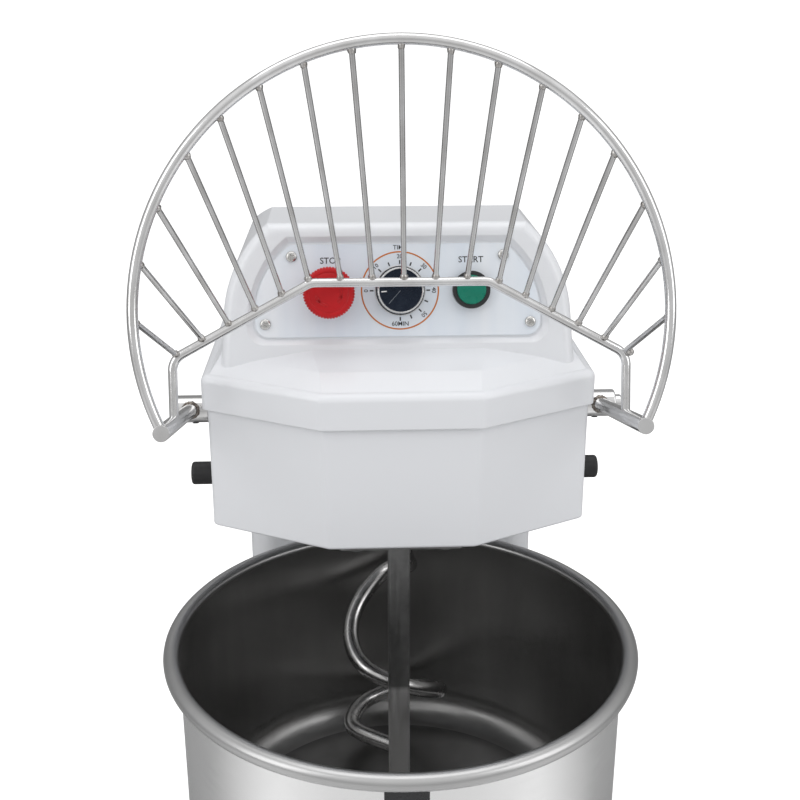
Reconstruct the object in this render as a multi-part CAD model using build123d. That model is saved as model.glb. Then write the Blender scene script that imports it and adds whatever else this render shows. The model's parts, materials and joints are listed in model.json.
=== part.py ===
from build123d import *
import os
from math import cos, pi, radians, sin

# Spiral dough mixer, 20 litre class.  Millimetres, +Z up, front of the machine towards -Y.
# The origin is on the floor, under the middle of the machine's bounding box.

# Driving dimensions: bowl
rim_height = 406.0          # centre of the rolled rim above the floor
bowl_y = -143.5             # bowl axis
bowl_radius = 180.0         # inside
bowl_wall = 1.5
bowl_depth = 198.0          # rim centre to inside floor
bowl_floor = 2.0
bowl_corner = 30.0
rim_radius = 187.5
rim_tube = 6.5

# Driving dimensions: frame and casings
rear_y = 331.5
column_half = 141.0
column_front = bowl_y + 200
base_bottom = 32.0
base_top = 176.0
base_front = bowl_y - 150
head_half = 151.6
head_bottom = rim_height + 94.5
lip_bottom = rim_height + 195
housing_top = rim_height + 210
sheet = 2.5
cover_wall = 4.0

# Driving dimensions: shafts and drive levels
hook_y = bowl_y + 120
jack_y = bowl_y + 265
motor_y = bowl_y + 380
bowl_shaft_radius = 17.5
hook_shaft_radius = 15.0
hook_weld_z = rim_height + 32
hook_rod = 7.5
jack_shaft_radius = 12.5
motor_shaft_radius = 12.0
running_gap = 0.05
bowl_chain_z = 88.0
hook_chain_z = 530.0
belt_low = 541.0
belt_high = 569.0
chain_pitch = 12.7
bowl_teeth = 50
jack_low_teeth = 15
jack_high_teeth = 42
hook_teeth = 14
hook_pulley_radius = 126.0
motor_pulley_radius = 31.5
groove_depth = 9.0

# Driving dimensions: raised guard
pivot_y = bowl_y + 80.8
pivot_z = rim_height + 174.5
guard_lift = 13.9           # the arms point this far above level when the guard is up
arm_x = 171.5
arm_length = 157.9
arm_radius = 6.0
arch_radius = 189.5
arch_rod = 4.0
frame_rod = 3.5
frame_reach = 101.0
wire_rod = 2.1
wire_drift = 2.8            # the wires meet the inner frame this far to the right of even spacing
guard_shaft_radius = 7.0

# Driving dimensions: console panel
panel_tilt = 15.0
panel_y = bowl_y + 48
panel_z = rim_height + 283.5
panel_thickness = 1.5
stop_place = (-54.0, -2.0)
dial_place = (1.5, -0.5)
start_place = (57.5, -0.5)
screw_places = [(-83.2, 26.7), (83.2, 26.7), (-104.5, -26.0), (104.5, -26.0)]

# Driving dimensions: small fittings and motor
gland_y = rear_y - 60
gland_z = base_top + 50
breaker_bolt_x = (-35.5, 35.5)
breaker_bolt_y = bowl_y + 6
breaker_top = head_bottom - 10
bumper_y = pivot_y + arm_radius + 10.4
bumper_z = rim_height + 109
motor_top = head_bottom - 5
motor_low = motor_top - 200

panel_plane = Plane(
    origin=(0, panel_y, panel_z),
    x_dir=(1, 0, 0),
    z_dir=(0, -cos(radians(panel_tilt)), sin(radians(panel_tilt))),
)
guard_place = Pos(0, pivot_y, pivot_z) * Rot(-guard_lift, 0, 0)


def save(name, shape):
    export_step(shape, f"parts/{name}.step")


def block(x_low, x_high, y_low, y_high, z_low, z_high):
    middle = Pos((x_low + x_high) / 2, (y_low + y_high) / 2, (z_low + z_high) / 2)
    return middle * Box(x_high - x_low, y_high - y_low, z_high - z_low)


def rod_z(radius, z_low, z_high, x=0.0, y=0.0):
    return Pos(x, y, (z_low + z_high) / 2) * Cylinder(radius, z_high - z_low)


def ring_z(outer, inner, z_low, z_high, x=0.0, y=0.0):
    return rod_z(outer, z_low, z_high, x, y) - rod_z(inner, z_low - 1, z_high + 1, x, y)


def rod_x(radius, x_low, x_high, y=0.0, z=0.0):
    return Pos((x_low + x_high) / 2, y, z) * Rot(0, 90, 0) * Cylinder(radius, x_high - x_low)


def rod_y(radius, y_low, y_high, x=0.0, z=0.0):
    return Pos(x, (y_low + y_high) / 2, z) * Rot(90, 0, 0) * Cylinder(radius, y_high - y_low)


def on_panel(place, low, high, radius):
    """A round bar square to the console panel, between two heights above its face."""
    spot = Pos(place[0], place[1], (low + high) / 2)
    return panel_plane * spot * Cylinder(radius, high - low)


def mirrored(piece):
    return [piece, mirror(piece, about=Plane.YZ)]


# ---------------------------------------------------------------- bowl


def bowl_shell():
    """Straight-sided pan with a radiused bottom and a rolled bead round the mouth."""
    low = rim_height - bowl_depth
    outer = bowl_radius + bowl_wall
    under = low - bowl_floor
    with BuildSketch(Plane.XZ) as profile:
        with BuildLine():
            Polyline((0, low), (bowl_radius - bowl_corner, low))
            RadiusArc((bowl_radius - bowl_corner, low), (bowl_radius, low + bowl_corner), -bowl_corner)
            Polyline((bowl_radius, low + bowl_corner), (bowl_radius, rim_height), (outer, rim_height),
                     (outer, low + bowl_corner))
            RadiusArc((outer, low + bowl_corner), (bowl_radius - bowl_corner, under),
                      bowl_corner + (bowl_wall + bowl_floor) / 2)
            Polyline((bowl_radius - bowl_corner, under), (0, under), (0, low))
        make_face()
        with Locations((rim_radius, rim_height)):
            Circle(rim_tube)
    return Pos(0, bowl_y, 0) * revolve(profile.sketch, Axis.Z)


def bowl_label():
    """Plain dark plate on the front of the bowl wall, curved to it."""
    inner = bowl_radius + bowl_wall
    band = ring_z(inner + 0.6, inner, rim_height - 60, rim_height - 12.5, y=bowl_y)
    return band & block(-19.5, 12.0, bowl_y - 200, bowl_y, rim_height - 80, rim_height)


def bowl_hub():
    top = rim_height - bowl_depth - bowl_floor
    flange = rod_z(62, top - 8, top, y=bowl_y)
    boss = rod_z(30, base_top + 14, top - 8, y=bowl_y)
    bore = rod_z(bowl_shaft_radius + running_gap, base_top, top - 4, y=bowl_y)
    return flange + boss - bore


def bowl_shaft():
    top = rim_height - bowl_depth - bowl_floor - 4.2
    return rod_z(bowl_shaft_radius, bowl_chain_z - 12, top, y=bowl_y)


def bowl_bearing_housing():
    flange = rod_z(66, base_top - sheet - 10, base_top - sheet, y=bowl_y)
    barrel = rod_z(44, base_top - 76, base_top + 12, y=bowl_y)
    through = rod_z(24, base_top - 80, base_top + 20, y=bowl_y)
    lower_seat = rod_z(36, base_top - 80, base_top - 58, y=bowl_y)
    upper_seat = rod_z(36, base_top - 6, base_top + 20, y=bowl_y)
    return flange + barrel - through - lower_seat - upper_seat


def bowl_bearings():
    outer = 36 - running_gap
    inner = bowl_shaft_radius + running_gap
    lower = ring_z(outer, inner, base_top - 75, base_top - 58, y=bowl_y)
    upper = ring_z(outer, inner, base_top - 6, base_top + 11, y=bowl_y)
    return Compound([lower.solid(), upper.solid()])


# ---------------------------------------------------------------- base and column


def base_outline(shrink):
    """Square at the back, broad round corners at the front under the bowl."""
    width = 2 * (column_half - shrink)
    depth = rear_y - base_front - 2 * shrink
    with BuildSketch() as plan:
        with Locations((0, (rear_y + base_front) / 2)):
            outline = Rectangle(width, depth)
        fillet(outline.vertices().group_by(Axis.Y)[0], 105 - shrink)
        fillet(outline.vertices().group_by(Axis.Y)[-1], 16 - shrink)
    return plan.sketch


def base_housing():
    outer = Pos(0, 0, base_bottom) * extrude(base_outline(0), base_top - base_bottom)
    outer = fillet(outer.faces().sort_by(Axis.Z)[-1].outer_wire().edges(), 5)
    inner = Pos(0, 0, base_bottom - 1) * extrude(base_outline(sheet), base_top - base_bottom + 1 - sheet)
    bowl_hole = rod_z(45, base_top - 10, base_top + 5, y=bowl_y)
    jack_hole = rod_z(25, base_top - 10, base_top + 5, y=jack_y)
    return outer - inner - bowl_hole - jack_hole


def foot_places():
    front = [(x, base_front + 70) for x in (-76, 76)]
    return front + [(x, rear_y - 45) for x in (-100, 100)]


def base_plate():
    """Steel floor plate that closes the base and carries the feet and the lower shaft bearing."""
    plate = Pos(0, 0, base_bottom) * extrude(base_outline(sheet + 0.3), 4)
    for x, y in foot_places():
        plate -= rod_z(5.2, base_bottom - 1, base_bottom + 6, x, y)
    return plate


def rubber_feet():
    feet = []
    for x, y in foot_places():
        foot = Pos(x, y, base_bottom / 2) * Cone(22, 26, base_bottom)
        foot -= rod_z(5.2, 6, base_bottom + 1, x, y)
        foot -= rod_z(11, -1, 10, x, y)
        feet.append(foot.solid())
    return Compound(feet)


def foot_bolts():
    bolts = []
    for x, y in foot_places():
        shank = rod_z(5, 10, base_bottom + 18, x, y)
        head = rod_z(9, 4, 10, x, y)
        nut = Pos(x, y, base_bottom + 4) * extrude(RegularPolygon(9.2, 6), 8)
        bolts.append((shank + head + nut).solid())
    return Compound(bolts)


def column_shell():
    """Folded sheet: front and two sides, with flanges turned in at the back."""
    outer = block(-column_half, column_half, column_front, rear_y, base_top, head_bottom)
    outer = fillet(outer.edges().filter_by(Axis.Z).group_by(Axis.Y)[0], 24)
    inner = block(-column_half + sheet, column_half - sheet, column_front + sheet, rear_y - sheet,
                  base_top - 1, head_bottom + 1)
    inner = fillet(inner.edges().filter_by(Axis.Z).group_by(Axis.Y)[0], 24 - sheet)
    door = block(-column_half + 20, column_half - 20, rear_y - 10, rear_y + 1, base_top + 18,
                 head_bottom - 18)
    shell = outer - inner - door
    for x, z in rear_screw_places():
        shell -= rod_y(2.2, rear_y - 12, rear_y + 1, x, z)
    shell -= rod_x(10.2, -column_half - 1, -column_half + 10, gland_y, gland_z)
    return shell


def cable_gland():
    """Empty cable inlet: hexagon body outside the column wall, lock nut inside."""
    barrel = rod_x(10, -column_half - 22, -column_half + 12, gland_y, gland_z)
    hexagon = Pos(-column_half - 12, gland_y, gland_z) * Rot(0, 90, 0) * extrude(RegularPolygon(14, 6), 12)
    nut = Pos(-column_half + sheet, gland_y, gland_z) * Rot(0, 90, 0) * extrude(RegularPolygon(14, 6), 5)
    bore = rod_x(5.5, -column_half - 30, -column_half + 20, gland_y, gland_z)
    return barrel + hexagon + nut - bore


def rear_screw_places():
    levels = (base_top + 30, (base_top + head_bottom) / 2, head_bottom - 30)
    return [(x, z) for x in (-126, 126) for z in levels]


def rear_cover():
    """Flat panel with two columns of pressed louvres."""
    low = base_top + 8
    high = head_bottom - 8
    half = column_half - 3
    cover = block(-half, half, rear_y, rear_y + 2, low, high)
    cover = fillet(cover.edges().filter_by(Axis.Y), 8)
    for x in (-56, 56):
        for step in range(9):
            z = low + 60 + 22 * step
            hood = Pos(x, rear_y + 2, z) * Rot(0, 90, 0) * Cylinder(3.8, 84)
            hood &= block(x - 45, x + 45, rear_y + 1, rear_y + 10, z - 1.5, z + 10)
            cover += hood
            cover -= block(x - 40, x + 40, rear_y - 1, rear_y + 4, z - 3.5, z - 1.5)
            cover -= Pos(x, rear_y + 1, z) * Rot(0, 90, 0) * Cylinder(2.4, 80)
    for x, z in rear_screw_places():
        cover -= rod_y(2.2, rear_y - 1, rear_y + 4, x, z)
    return cover


def pan_screw(length):
    """Pan head with a cross recess; the head stands above Z = 0."""
    head = Cylinder(4.0, 2.2, align=(Align.CENTER, Align.CENTER, Align.MIN))
    head = fillet(head.faces().sort_by(Axis.Z)[-1].edges(), 1.2)
    shank = Pos(0, 0, -length / 2) * Cylinder(2.0, length)
    cross = Pos(0, 0, 1.9) * Box(4.2, 1.1, 2.0) + Pos(0, 0, 1.9) * Box(1.1, 4.2, 2.0)
    return head + shank - cross


def rear_cover_screws():
    screws = []
    for x, z in rear_screw_places():
        screws.append((Pos(x, rear_y + 2, z) * Rot(-90, 0, 0) * pan_screw(8)).solid())
    return Compound(screws)


# ---------------------------------------------------------------- head


def head_plan(z, facet, front, corner, half, back):
    """Plan of the head: straight sides, two angled front facets and a flat nose."""
    points = [(-half, back), (-half, corner), (-facet, front), (facet, front), (half, corner), (half, back)]
    return Pos(0, 0, z) * make_face(Polyline(*points, close=True))


def housing_solid(shrink, low, high):
    half = head_half - shrink
    rear = rear_y - shrink
    bottom = head_plan(low, 57 - 0.24 * shrink, bowl_y - 27 + shrink, bowl_y + 22 + 0.3 * shrink, half, rear)
    top = head_plan(high, 61 - 0.24 * shrink, bowl_y - 25 + shrink, bowl_y + 24 + 0.3 * shrink, half, rear)
    return loft([bottom, top], ruled=True)


def head_housing():
    """Drip-free sheet tray that closes the head from below."""
    outer = housing_solid(0, head_bottom, housing_top)
    upright = [e for e in outer.edges() if e.bounding_box().size.Z > 50]
    outer = fillet(upright, 6)
    outer = fillet(outer.faces().sort_by(Axis.Z)[0].outer_wire().edges(), 2.2)
    inner = housing_solid(sheet, head_bottom + 3, housing_top + 1)
    tray = outer - inner
    tray -= rod_z(39, head_bottom - 1, head_bottom + 5, y=hook_y)
    tray -= block(-118, 118, column_front + 14, rear_y - 16, head_bottom - 1, head_bottom + 5)
    for x in breaker_bolt_x:
        tray -= rod_z(5.2, head_bottom - 1, head_bottom + 5, x, breaker_bolt_y)
    for side in (-1, 1):
        tray -= rod_x(12.1, min(side * 140, side * 160), max(side * 140, side * 160), pivot_y, pivot_z)
        tray -= rod_x(4.2, min(side * 140, side * 160), max(side * 140, side * 160), bumper_y, bumper_z)
    return tray


def head_plate():
    """Thick steel plate inside the head that carries every shaft, the motor and the breaker bar."""
    low = head_bottom + 3
    plate = block(-122, 122, bowl_y + 14, rear_y - 26, low, low + 10)
    plate += block(-56, 56, bowl_y - 18, bowl_y + 15, low, low + 10)
    plate -= rod_z(39, low - 1, low + 11, y=hook_y)
    plate -= rod_z(20, low - 1, low + 11, y=jack_y)
    plate -= block(-26, 26, motor_y - 34, motor_y + 34, low - 1, low + 11)
    for x in breaker_bolt_x:
        plate -= rod_z(5.2, low - 1, low + 11, x, breaker_bolt_y)
    return plate


def hook_bearing_housing():
    low = head_bottom - 40
    deck = head_bottom + 13
    barrel = rod_z(38, low, deck, y=hook_y)
    flange = rod_z(56, deck, deck + 6, y=hook_y)
    through = rod_z(21, low - 1, deck + 10, y=hook_y)
    seats = rod_z(31, low + 3, low + 19, y=hook_y) + rod_z(31, deck - 10, deck + 10, y=hook_y)
    return barrel + flange - through - seats


def hook_bearings():
    low = head_bottom - 37
    deck = head_bottom + 13
    outer = 31 - running_gap
    inner = hook_shaft_radius + running_gap
    lower = ring_z(outer, inner, low, low + 16, y=hook_y)
    upper = ring_z(outer, inner, deck - 10, deck + 5, y=hook_y)
    return Compound([lower.solid(), upper.solid()])


def breaker_bar():
    """Flat steel bar welded under a mounting plate; the lower part leans forward."""
    plate = block(-50, 50, bowl_y - 9, bowl_y + 40, breaker_top, head_bottom)
    plate = fillet(plate.edges().filter_by(Axis.Z), 5)
    bend = rim_height - 46
    foot = rim_height - bowl_depth + 9
    side = [(-5, breaker_top), (6, breaker_top), (6, bend), (-11, foot), (-22, foot), (-5, bend)]
    outline = Plane.YZ * make_face(Polyline(*[(bowl_y + y, z) for y, z in side], close=True))
    bar = Pos(-1.5, 0, 0) * extrude(outline, 8.9, both=True)
    bar = chamfer(bar.edges().filter_by(lambda e: e.length > 100), 1.5)
    for x in breaker_bolt_x:
        plate -= rod_z(5.2, breaker_top - 1, head_bottom + 1, x, breaker_bolt_y)
    return plate + bar


def breaker_bolts():
    bolts = []
    for x in breaker_bolt_x:
        head = rod_z(9, breaker_top - 5.5, breaker_top, x, breaker_bolt_y)
        head = fillet(head.faces().sort_by(Axis.Z)[0].edges(), 3.5)
        shank = rod_z(5, breaker_top, head_bottom + 24, x, breaker_bolt_y)
        nut = Pos(x, breaker_bolt_y, head_bottom + 13) * extrude(RegularPolygon(9.2, 6), 8)
        bolts.append((head + shank + nut).solid())
    return Compound(bolts)


def guard_bumpers():
    """Rubber stops on both sides of the head that the closed guard's arms rest against."""
    button = rod_x(10, head_half, head_half + 26, bumper_y, bumper_z)
    button = fillet(button.faces().sort_by(Axis.X)[-1].edges(), 2.5)
    stud = rod_x(4, head_half - sheet - 8, head_half, bumper_y, bumper_z)
    nut = Pos(head_half - sheet - 5, bumper_y, bumper_z) * Rot(0, 90, 0) * extrude(RegularPolygon(7.5, 6), 5)
    return Compound([piece.solid() for piece in mirrored(button + stud + nut)])


def guard_bushes():
    """Flanged bushes in the head's side walls that the guard shaft turns in."""
    barrel = rod_x(12, head_half - sheet - 6, head_half + 1.5, pivot_y, pivot_z)
    flange = rod_x(15, head_half - sheet - 6, head_half - sheet, pivot_y, pivot_z)
    bore = rod_x(guard_shaft_radius + running_gap, 100, 200, pivot_y, pivot_z)
    return Compound([piece.solid() for piece in mirrored(barrel + flange - bore)])


def guard_switch():
    """Limit switch beside the guard shaft's cam; it stops the drive when the guard is lifted."""
    body = block(129, 149, pivot_y + 19, pivot_y + 46, pivot_z - 12, pivot_z + 12)
    body = fillet(body.edges().filter_by(Axis.X), 2)
    plunger = rod_y(3, pivot_y + 14.6, pivot_y + 20, 132, pivot_z)
    return body + plunger


# ---------------------------------------------------------------- top cover


def hump_outline(shrink):
    """Front view of the console: nearly upright sides that roll into a flat top."""
    drop = cos(radians(panel_tilt))
    low = -75.0
    crown = panel_z + (52.7 - shrink) * drop
    with BuildSketch(Plane.XZ) as front:
        with BuildLine():
            Line((141 - shrink, panel_z + low * drop), (137.5 - shrink, panel_z - 18 * drop))
            ThreePointArc(
                (137.5 - shrink, panel_z - 18 * drop),
                (127.3 - 0.9 * shrink, panel_z + (20 - 0.4 * shrink) * drop),
                (102 - 0.6 * shrink, crown),
            )
            Line((102 - 0.6 * shrink, crown), (0, crown))
            Line((0, panel_z + (52.7 - shrink) * drop), (0, panel_z + low * drop))
            Line((0, panel_z + low * drop), (141 - shrink, panel_z + low * drop))
        make_face()
        mirror(about=Plane.YZ)
    return front.sketch


def hump_solid(shrink, face_offset, round_over):
    """Console block: front face leans back, top runs level and then falls to the rear."""
    body = extrude(hump_outline(shrink), -(rear_y - 30 - shrink)) + extrude(hump_outline(shrink), 160)
    body = split(body, bisect_by=panel_plane.offset(face_offset), keep=Keep.BOTTOM)
    crest = panel_z + 52.7 * cos(radians(panel_tilt)) - shrink
    fall = radians(17)
    slope = Plane(origin=(0, bowl_y + 134, crest), x_dir=(1, 0, 0), z_dir=(0, sin(fall), cos(fall)))
    body = split(body, bisect_by=slope, keep=Keep.BOTTOM)
    front = body.faces().sort_by(Axis.Y)[0]
    lowest = front.edges().sort_by(Axis.Z)[0]
    rim = [e for e in front.edges() if e != lowest]
    return fillet(rim, round_over)


def cover_solid(shrink):
    """Outer or inner form of the one-piece lid below the console."""
    top = rim_height + 223 - shrink
    lip = head_plan(lip_bottom, 61.5 - 0.24 * shrink, bowl_y - 29.5 + shrink, bowl_y + 22.5 + 0.3 * shrink,
                    head_half + 4.2 - shrink, rear_y + 4 - shrink)
    lid = extrude(lip, top - lip_bottom)
    upright = [e for e in lid.edges() if e.bounding_box().size.Z > 5]
    lid = fillet(upright, 8)
    lid = fillet(lid.faces().sort_by(Axis.Z)[-1].outer_wire().edges(), 6)
    shoulder = head_plan(top, 60, bowl_y - 23 + shrink, bowl_y + 27, head_half - 3 - shrink, rear_y - 4 - shrink)
    crease = head_plan(rim_height + 232 - shrink, 62, bowl_y - 1 + shrink, bowl_y + 47, 142 - shrink,
                       rear_y - 16 - shrink)
    plateau = head_plan(rim_height + 241 - shrink, 70, bowl_y + 38 + shrink, bowl_y + 75, 138 - shrink,
                        rear_y - 40 - shrink)
    return lid + loft([shoulder, crease], ruled=True) + loft([crease, plateau], ruled=True)


def panel_outline(grow):
    """Control panel plate: flat bottom, curved shoulders that follow the console."""
    low = -36.5 - grow
    high = 36.0 + grow
    with BuildSketch() as face:
        with BuildLine():
            Line((0, low), (101 + grow, low))
            ThreePointArc((101 + grow, low), (109.4 + grow, low + 3.2 + 0.2 * grow), (112.5 + grow, low + 12 + grow))
            ThreePointArc((112.5 + grow, low + 12 + grow), (104.5 + grow, 12), (84 + 0.5 * grow, high))
            Line((84 + 0.5 * grow, high), (0, high))
            Line((0, high), (0, low))
        make_face()
        mirror(about=Plane.YZ)
    return face.sketch


def top_cover():
    outer = cover_solid(0) + hump_solid(0, 4, 9)
    seat = housing_solid(-0.5, lip_bottom - 1, housing_top)
    inner = cover_solid(cover_wall) + hump_solid(cover_wall, -3.5, 5)
    inner &= block(-200, 200, bowl_y - 100, rear_y + 100, housing_top, housing_top + 200)
    recess = loft([panel_plane * panel_outline(1.5), panel_plane * Pos(0, 0, 5) * panel_outline(7)])
    cover = outer - seat - inner - recess
    for place in (stop_place, start_place):
        cover -= on_panel(place, -10, 2, 11.2)
    cover -= on_panel(dial_place, -10, 2, 8)
    for place in screw_places:
        cover -= on_panel(place, -10, 2, 2.3)
    return cover


# ---------------------------------------------------------------- console fittings


def control_panel():
    plate = panel_plane * extrude(panel_outline(0), panel_thickness)
    for place in (stop_place, start_place):
        plate -= on_panel(place, -1, 3, 11.2)
    plate -= on_panel(dial_place, -1, 3, 8)
    for place in screw_places:
        plate -= on_panel(place, -1, 3, 2.3)
    return plate


def panel_screws():
    screws = []
    for index, place in enumerate(screw_places):
        spot = Pos(place[0], place[1], panel_thickness) * Rot(0, 0, 20 + 25 * index)
        screws.append((panel_plane * spot * pan_screw(8)).solid())
    return Compound(screws)


def stop_collar():
    ring = on_panel(stop_place, panel_thickness, 8, 14.5) + on_panel(stop_place, -14, panel_thickness, 11)
    return ring - on_panel(stop_place, -20, 12, 9.15)


def stop_stem():
    return on_panel(stop_place, -11, 13.8, 9.05) + on_panel(stop_place, 13, 20, 6)


def stop_cap():
    """Mushroom head: undercut skirt, upright grip band and a shallow dome."""
    centre = panel_plane * Pos(stop_place[0], stop_place[1], 0)
    with BuildSketch(Plane.XZ) as profile:
        with BuildLine():
            Polyline((0, 14), (15.5, 14), (18.5, 16), (20, 18.5), (20, 23.2))
            ThreePointArc((20, 23.2), (19.1, 25.3), (16.5, 26.4))
            Polyline((16.5, 26.4), (8, 27.3), (0, 27.3), (0, 14))
        make_face()
    cap = revolve(profile.sketch, Axis.Z)
    cap -= Pos(0, 0, 17) * Cylinder(6.1, 6.4)
    return centre * cap


def start_bezel():
    ring = on_panel(start_place, panel_thickness, 7.5, 14.75) + on_panel(start_place, -14, panel_thickness, 11)
    ring -= on_panel(start_place, 3, 12, 11.6)
    return ring - on_panel(start_place, -20, 12, 9.15)


def start_cap():
    cap = on_panel(start_place, 5.6, 9.2, 11.5)
    top = cap.edges().sort_by(Axis((0, panel_y, panel_z), panel_plane.z_dir))[-1]
    return fillet(top, 1.2) + on_panel(start_place, -11, 5.6, 9.05)


def timer_body():
    case = panel_plane * Pos(dial_place[0], dial_place[1], -21) * Box(52, 52, 35)
    neck = on_panel(dial_place, -4, 1, 7.5)
    return case + neck - on_panel(dial_place, -16, 3, 3 + running_gap)


def timer_knob():
    """Dial knob: broad skirt, turned grip and a thin shaft into the timer."""
    centre = panel_plane * Pos(dial_place[0], dial_place[1], 0)
    with BuildSketch(Plane.XZ) as profile:
        with BuildLine():
            Polyline((0, 3), (19.8, 3), (19.8, 5.5), (18.6, 6.2), (17.9, 15), (17.2, 15.8), (0, 15.8), (0, 3))
        make_face()
    knob = revolve(profile.sketch, Axis.Z)
    return centre * knob + on_panel(dial_place, -14, 3.5, 3)


def switch_blocks():
    blocks = []
    for place in (stop_place, start_place):
        blocks.append((panel_plane * Pos(place[0], place[1], -31.5) * Box(28, 44, 29)).solid())
    return Compound(blocks)


def contactor():
    """Motor contactor with two terminal rows, on the column's left wall."""
    wall = -column_half + sheet
    body = block(wall, wall + 62, column_front + 40, column_front + 90, rim_height - 60, rim_height + 20)
    body -= block(wall + 46, wall + 70, column_front + 39, column_front + 91, rim_height + 2, rim_height + 21)
    body -= block(wall + 46, wall + 70, column_front + 39, column_front + 91, rim_height - 61, rim_height - 42)
    return body


# ---------------------------------------------------------------- drive


def pitch_radius(teeth):
    return chain_pitch / (2 * sin(pi / teeth))


def sprocket(teeth, y, z, bore, hub_radius, hub_height):
    """Chain wheel 6 mm thick with a hub on its upper side."""
    root = pitch_radius(teeth) - 4
    tip = pitch_radius(teeth) + 3.4
    step = 2 * pi / teeth
    points = []
    for tooth in range(teeth):
        for radius, turn in ((root, -0.36), (tip, -0.14), (tip, 0.14), (root, 0.36)):
            angle = step * (tooth + turn)
            points.append((radius * cos(angle), radius * sin(angle)))
    wheel = extrude(make_face(Polyline(*points, close=True)), 3, both=True)
    wheel += Pos(0, 0, 3 + hub_height / 2) * Cylinder(hub_radius, hub_height)
    wheel -= Cylinder(bore + running_gap, 100)
    return Pos(0, y, z) * wheel


def loop(y_one, radius_one, y_two, radius_two):
    """Outline of a belt or chain line round two wheels."""
    first = Pos(0, y_one) * Circle(radius_one)
    second = Pos(0, y_two) * Circle(radius_two)
    return make_hull(first.edges() + second.edges())


def chain(y_one, teeth_one, y_two, teeth_two, z):
    """Roller chain: link plates above and below the wheels, rollers on the open spans."""
    one = pitch_radius(teeth_one)
    two = pitch_radius(teeth_two)
    band = loop(y_one, one + 5, y_two, two + 5) - loop(y_one, one - 5, y_two, two - 5)
    links = Pos(0, 0, z + 3.5) * extrude(band, 1.6) + Pos(0, 0, z - 5.1) * extrude(band, 1.6)
    span = abs(y_two - y_one)
    lean = (two - one) / span
    normal_x = (1 - lean * lean) ** 0.5
    direction = 1 if y_two > y_one else -1
    for count in range(8):
        along = 0.3 * span + 0.057 * span * count
        reach = one + lean * along
        x = normal_x * reach
        y = y_one + direction * (along - lean * reach)
        for side in (-1, 1):
            links += rod_z(3.9, z - 4, z + 4, side * x, y)
    return links


def vee_pulley(radius, y, bore, web):
    """Two-groove pulley, lightened between rim and hub when it is large."""
    wheel = rod_z(radius, belt_low, belt_high, y=y)
    for z in groove_levels():
        wheel -= ring_z(radius + 1, radius - groove_depth, z - 5.8, z + 5.8, y=y)
    if web:
        wheel -= ring_z(radius - groove_depth - 9, 30, belt_low - 1, belt_low + 9, y=y)
        wheel -= ring_z(radius - groove_depth - 9, 30, belt_high - 9, belt_high + 1, y=y)
    return wheel - rod_z(bore + running_gap, belt_low - 1, belt_high + 1, y=y)


def groove_levels():
    middle = (belt_low + belt_high) / 2
    return (middle - 7, middle + 7)


def drive_belts():
    belts = []
    inner_hook = hook_pulley_radius - groove_depth + 0.4
    inner_motor = motor_pulley_radius - groove_depth + 0.4
    band = loop(hook_y, inner_hook + 8.2, motor_y, inner_motor + 8.2)
    band -= loop(hook_y, inner_hook, motor_y, inner_motor)
    for z in groove_levels():
        belts.append((Pos(0, 0, z - 5.5) * extrude(band, 11)).solid())
    return Compound(belts)


def hook_shaft():
    """Drive shaft with a broad lower end that the hook is welded to and a nut on top."""
    shaft = rod_z(hook_shaft_radius, hook_weld_z, belt_high + 2, y=hook_y)
    shaft += rod_z(19, hook_weld_z, hook_weld_z + 22, y=hook_y)
    return shaft + Pos(0, hook_y, belt_high + 2) * extrude(RegularPolygon(20, 6), 12)


def spiral_hook():
    """Round bar that leaves the shaft's end, winds down one and a half turns and folds in at the foot."""
    turns = [
        (0, 10, 12), (45, 20, -4), (90, 40, -20), (135, 42, -45), (180, 42, -71), (225, 42, -86), (270, 42, -97),
        (315, 42, -113), (360, 43, -133), (405, 43, -149), (450, 42, -160), (495, 42, -165.5),
    ]
    points = [(10, hook_y, hook_weld_z + 1)]
    for angle, radius, height in turns:
        turn = radians(angle)
        points.append((radius * cos(turn), hook_y + radius * sin(turn), rim_height + height))
    fold = [(-40.5, 11, -167.5), (-41.5, -4, -169), (-30, -17, -170), (-14, -28, -170), (0, -38, -170)]
    points += [(x, hook_y + y, rim_height + height) for x, y, height in fold]
    path = Spline(*points)
    rod = sweep(Plane(origin=path @ 0, z_dir=path % 0) * Circle(hook_rod), path=path)
    rod += Pos(*points[-1]) * Sphere(hook_rod)
    return rod - rod_z(30, hook_weld_z, hook_weld_z + 10, y=hook_y)


def jackshaft():
    return rod_z(jack_shaft_radius, base_bottom + 7, hook_chain_z + 14, y=jack_y)


def jackshaft_bearing_units():
    bore = rod_z(jack_shaft_radius + running_gap, 0, 700, y=jack_y)
    deck = head_bottom + 3
    upper = block(-45, 45, jack_y - 45, jack_y + 45, deck - 12, deck) + rod_z(30, deck - 26, deck, y=jack_y)
    low = base_bottom + 4
    lower = block(-45, 45, jack_y - 45, jack_y + 45, low, low + 12) + rod_z(30, low, low + 26, y=jack_y)
    return Compound([(upper - bore).solid(), (lower - bore).solid()])


def motor_mount_plate():
    top = head_bottom + 3
    plate = block(-80, 80, motor_y - 68, motor_y + 68, top - 8, top)
    return plate - rod_z(22, top - 10, top + 2, y=motor_y)


def motor_housing():
    """Finned aluminium body with end walls, open bore for the stator."""
    body = rod_z(64, motor_low, motor_top, y=motor_y) + rod_z(70, motor_top - 10, motor_top, y=motor_y)
    for spot in PolarLocations(0, 24):
        body += Pos(0, motor_y, motor_low + 95) * spot * Pos(66, 0, 0) * Box(9, 2.6, 140)
    body -= rod_z(58, motor_low + 10, motor_top - 12, y=motor_y)
    return body - rod_z(motor_shaft_radius + running_gap, motor_low - 1, motor_top + 1, y=motor_y)


def motor_stator():
    return ring_z(57.9, 41.5, motor_low + 40, motor_top - 45, y=motor_y)


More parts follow.
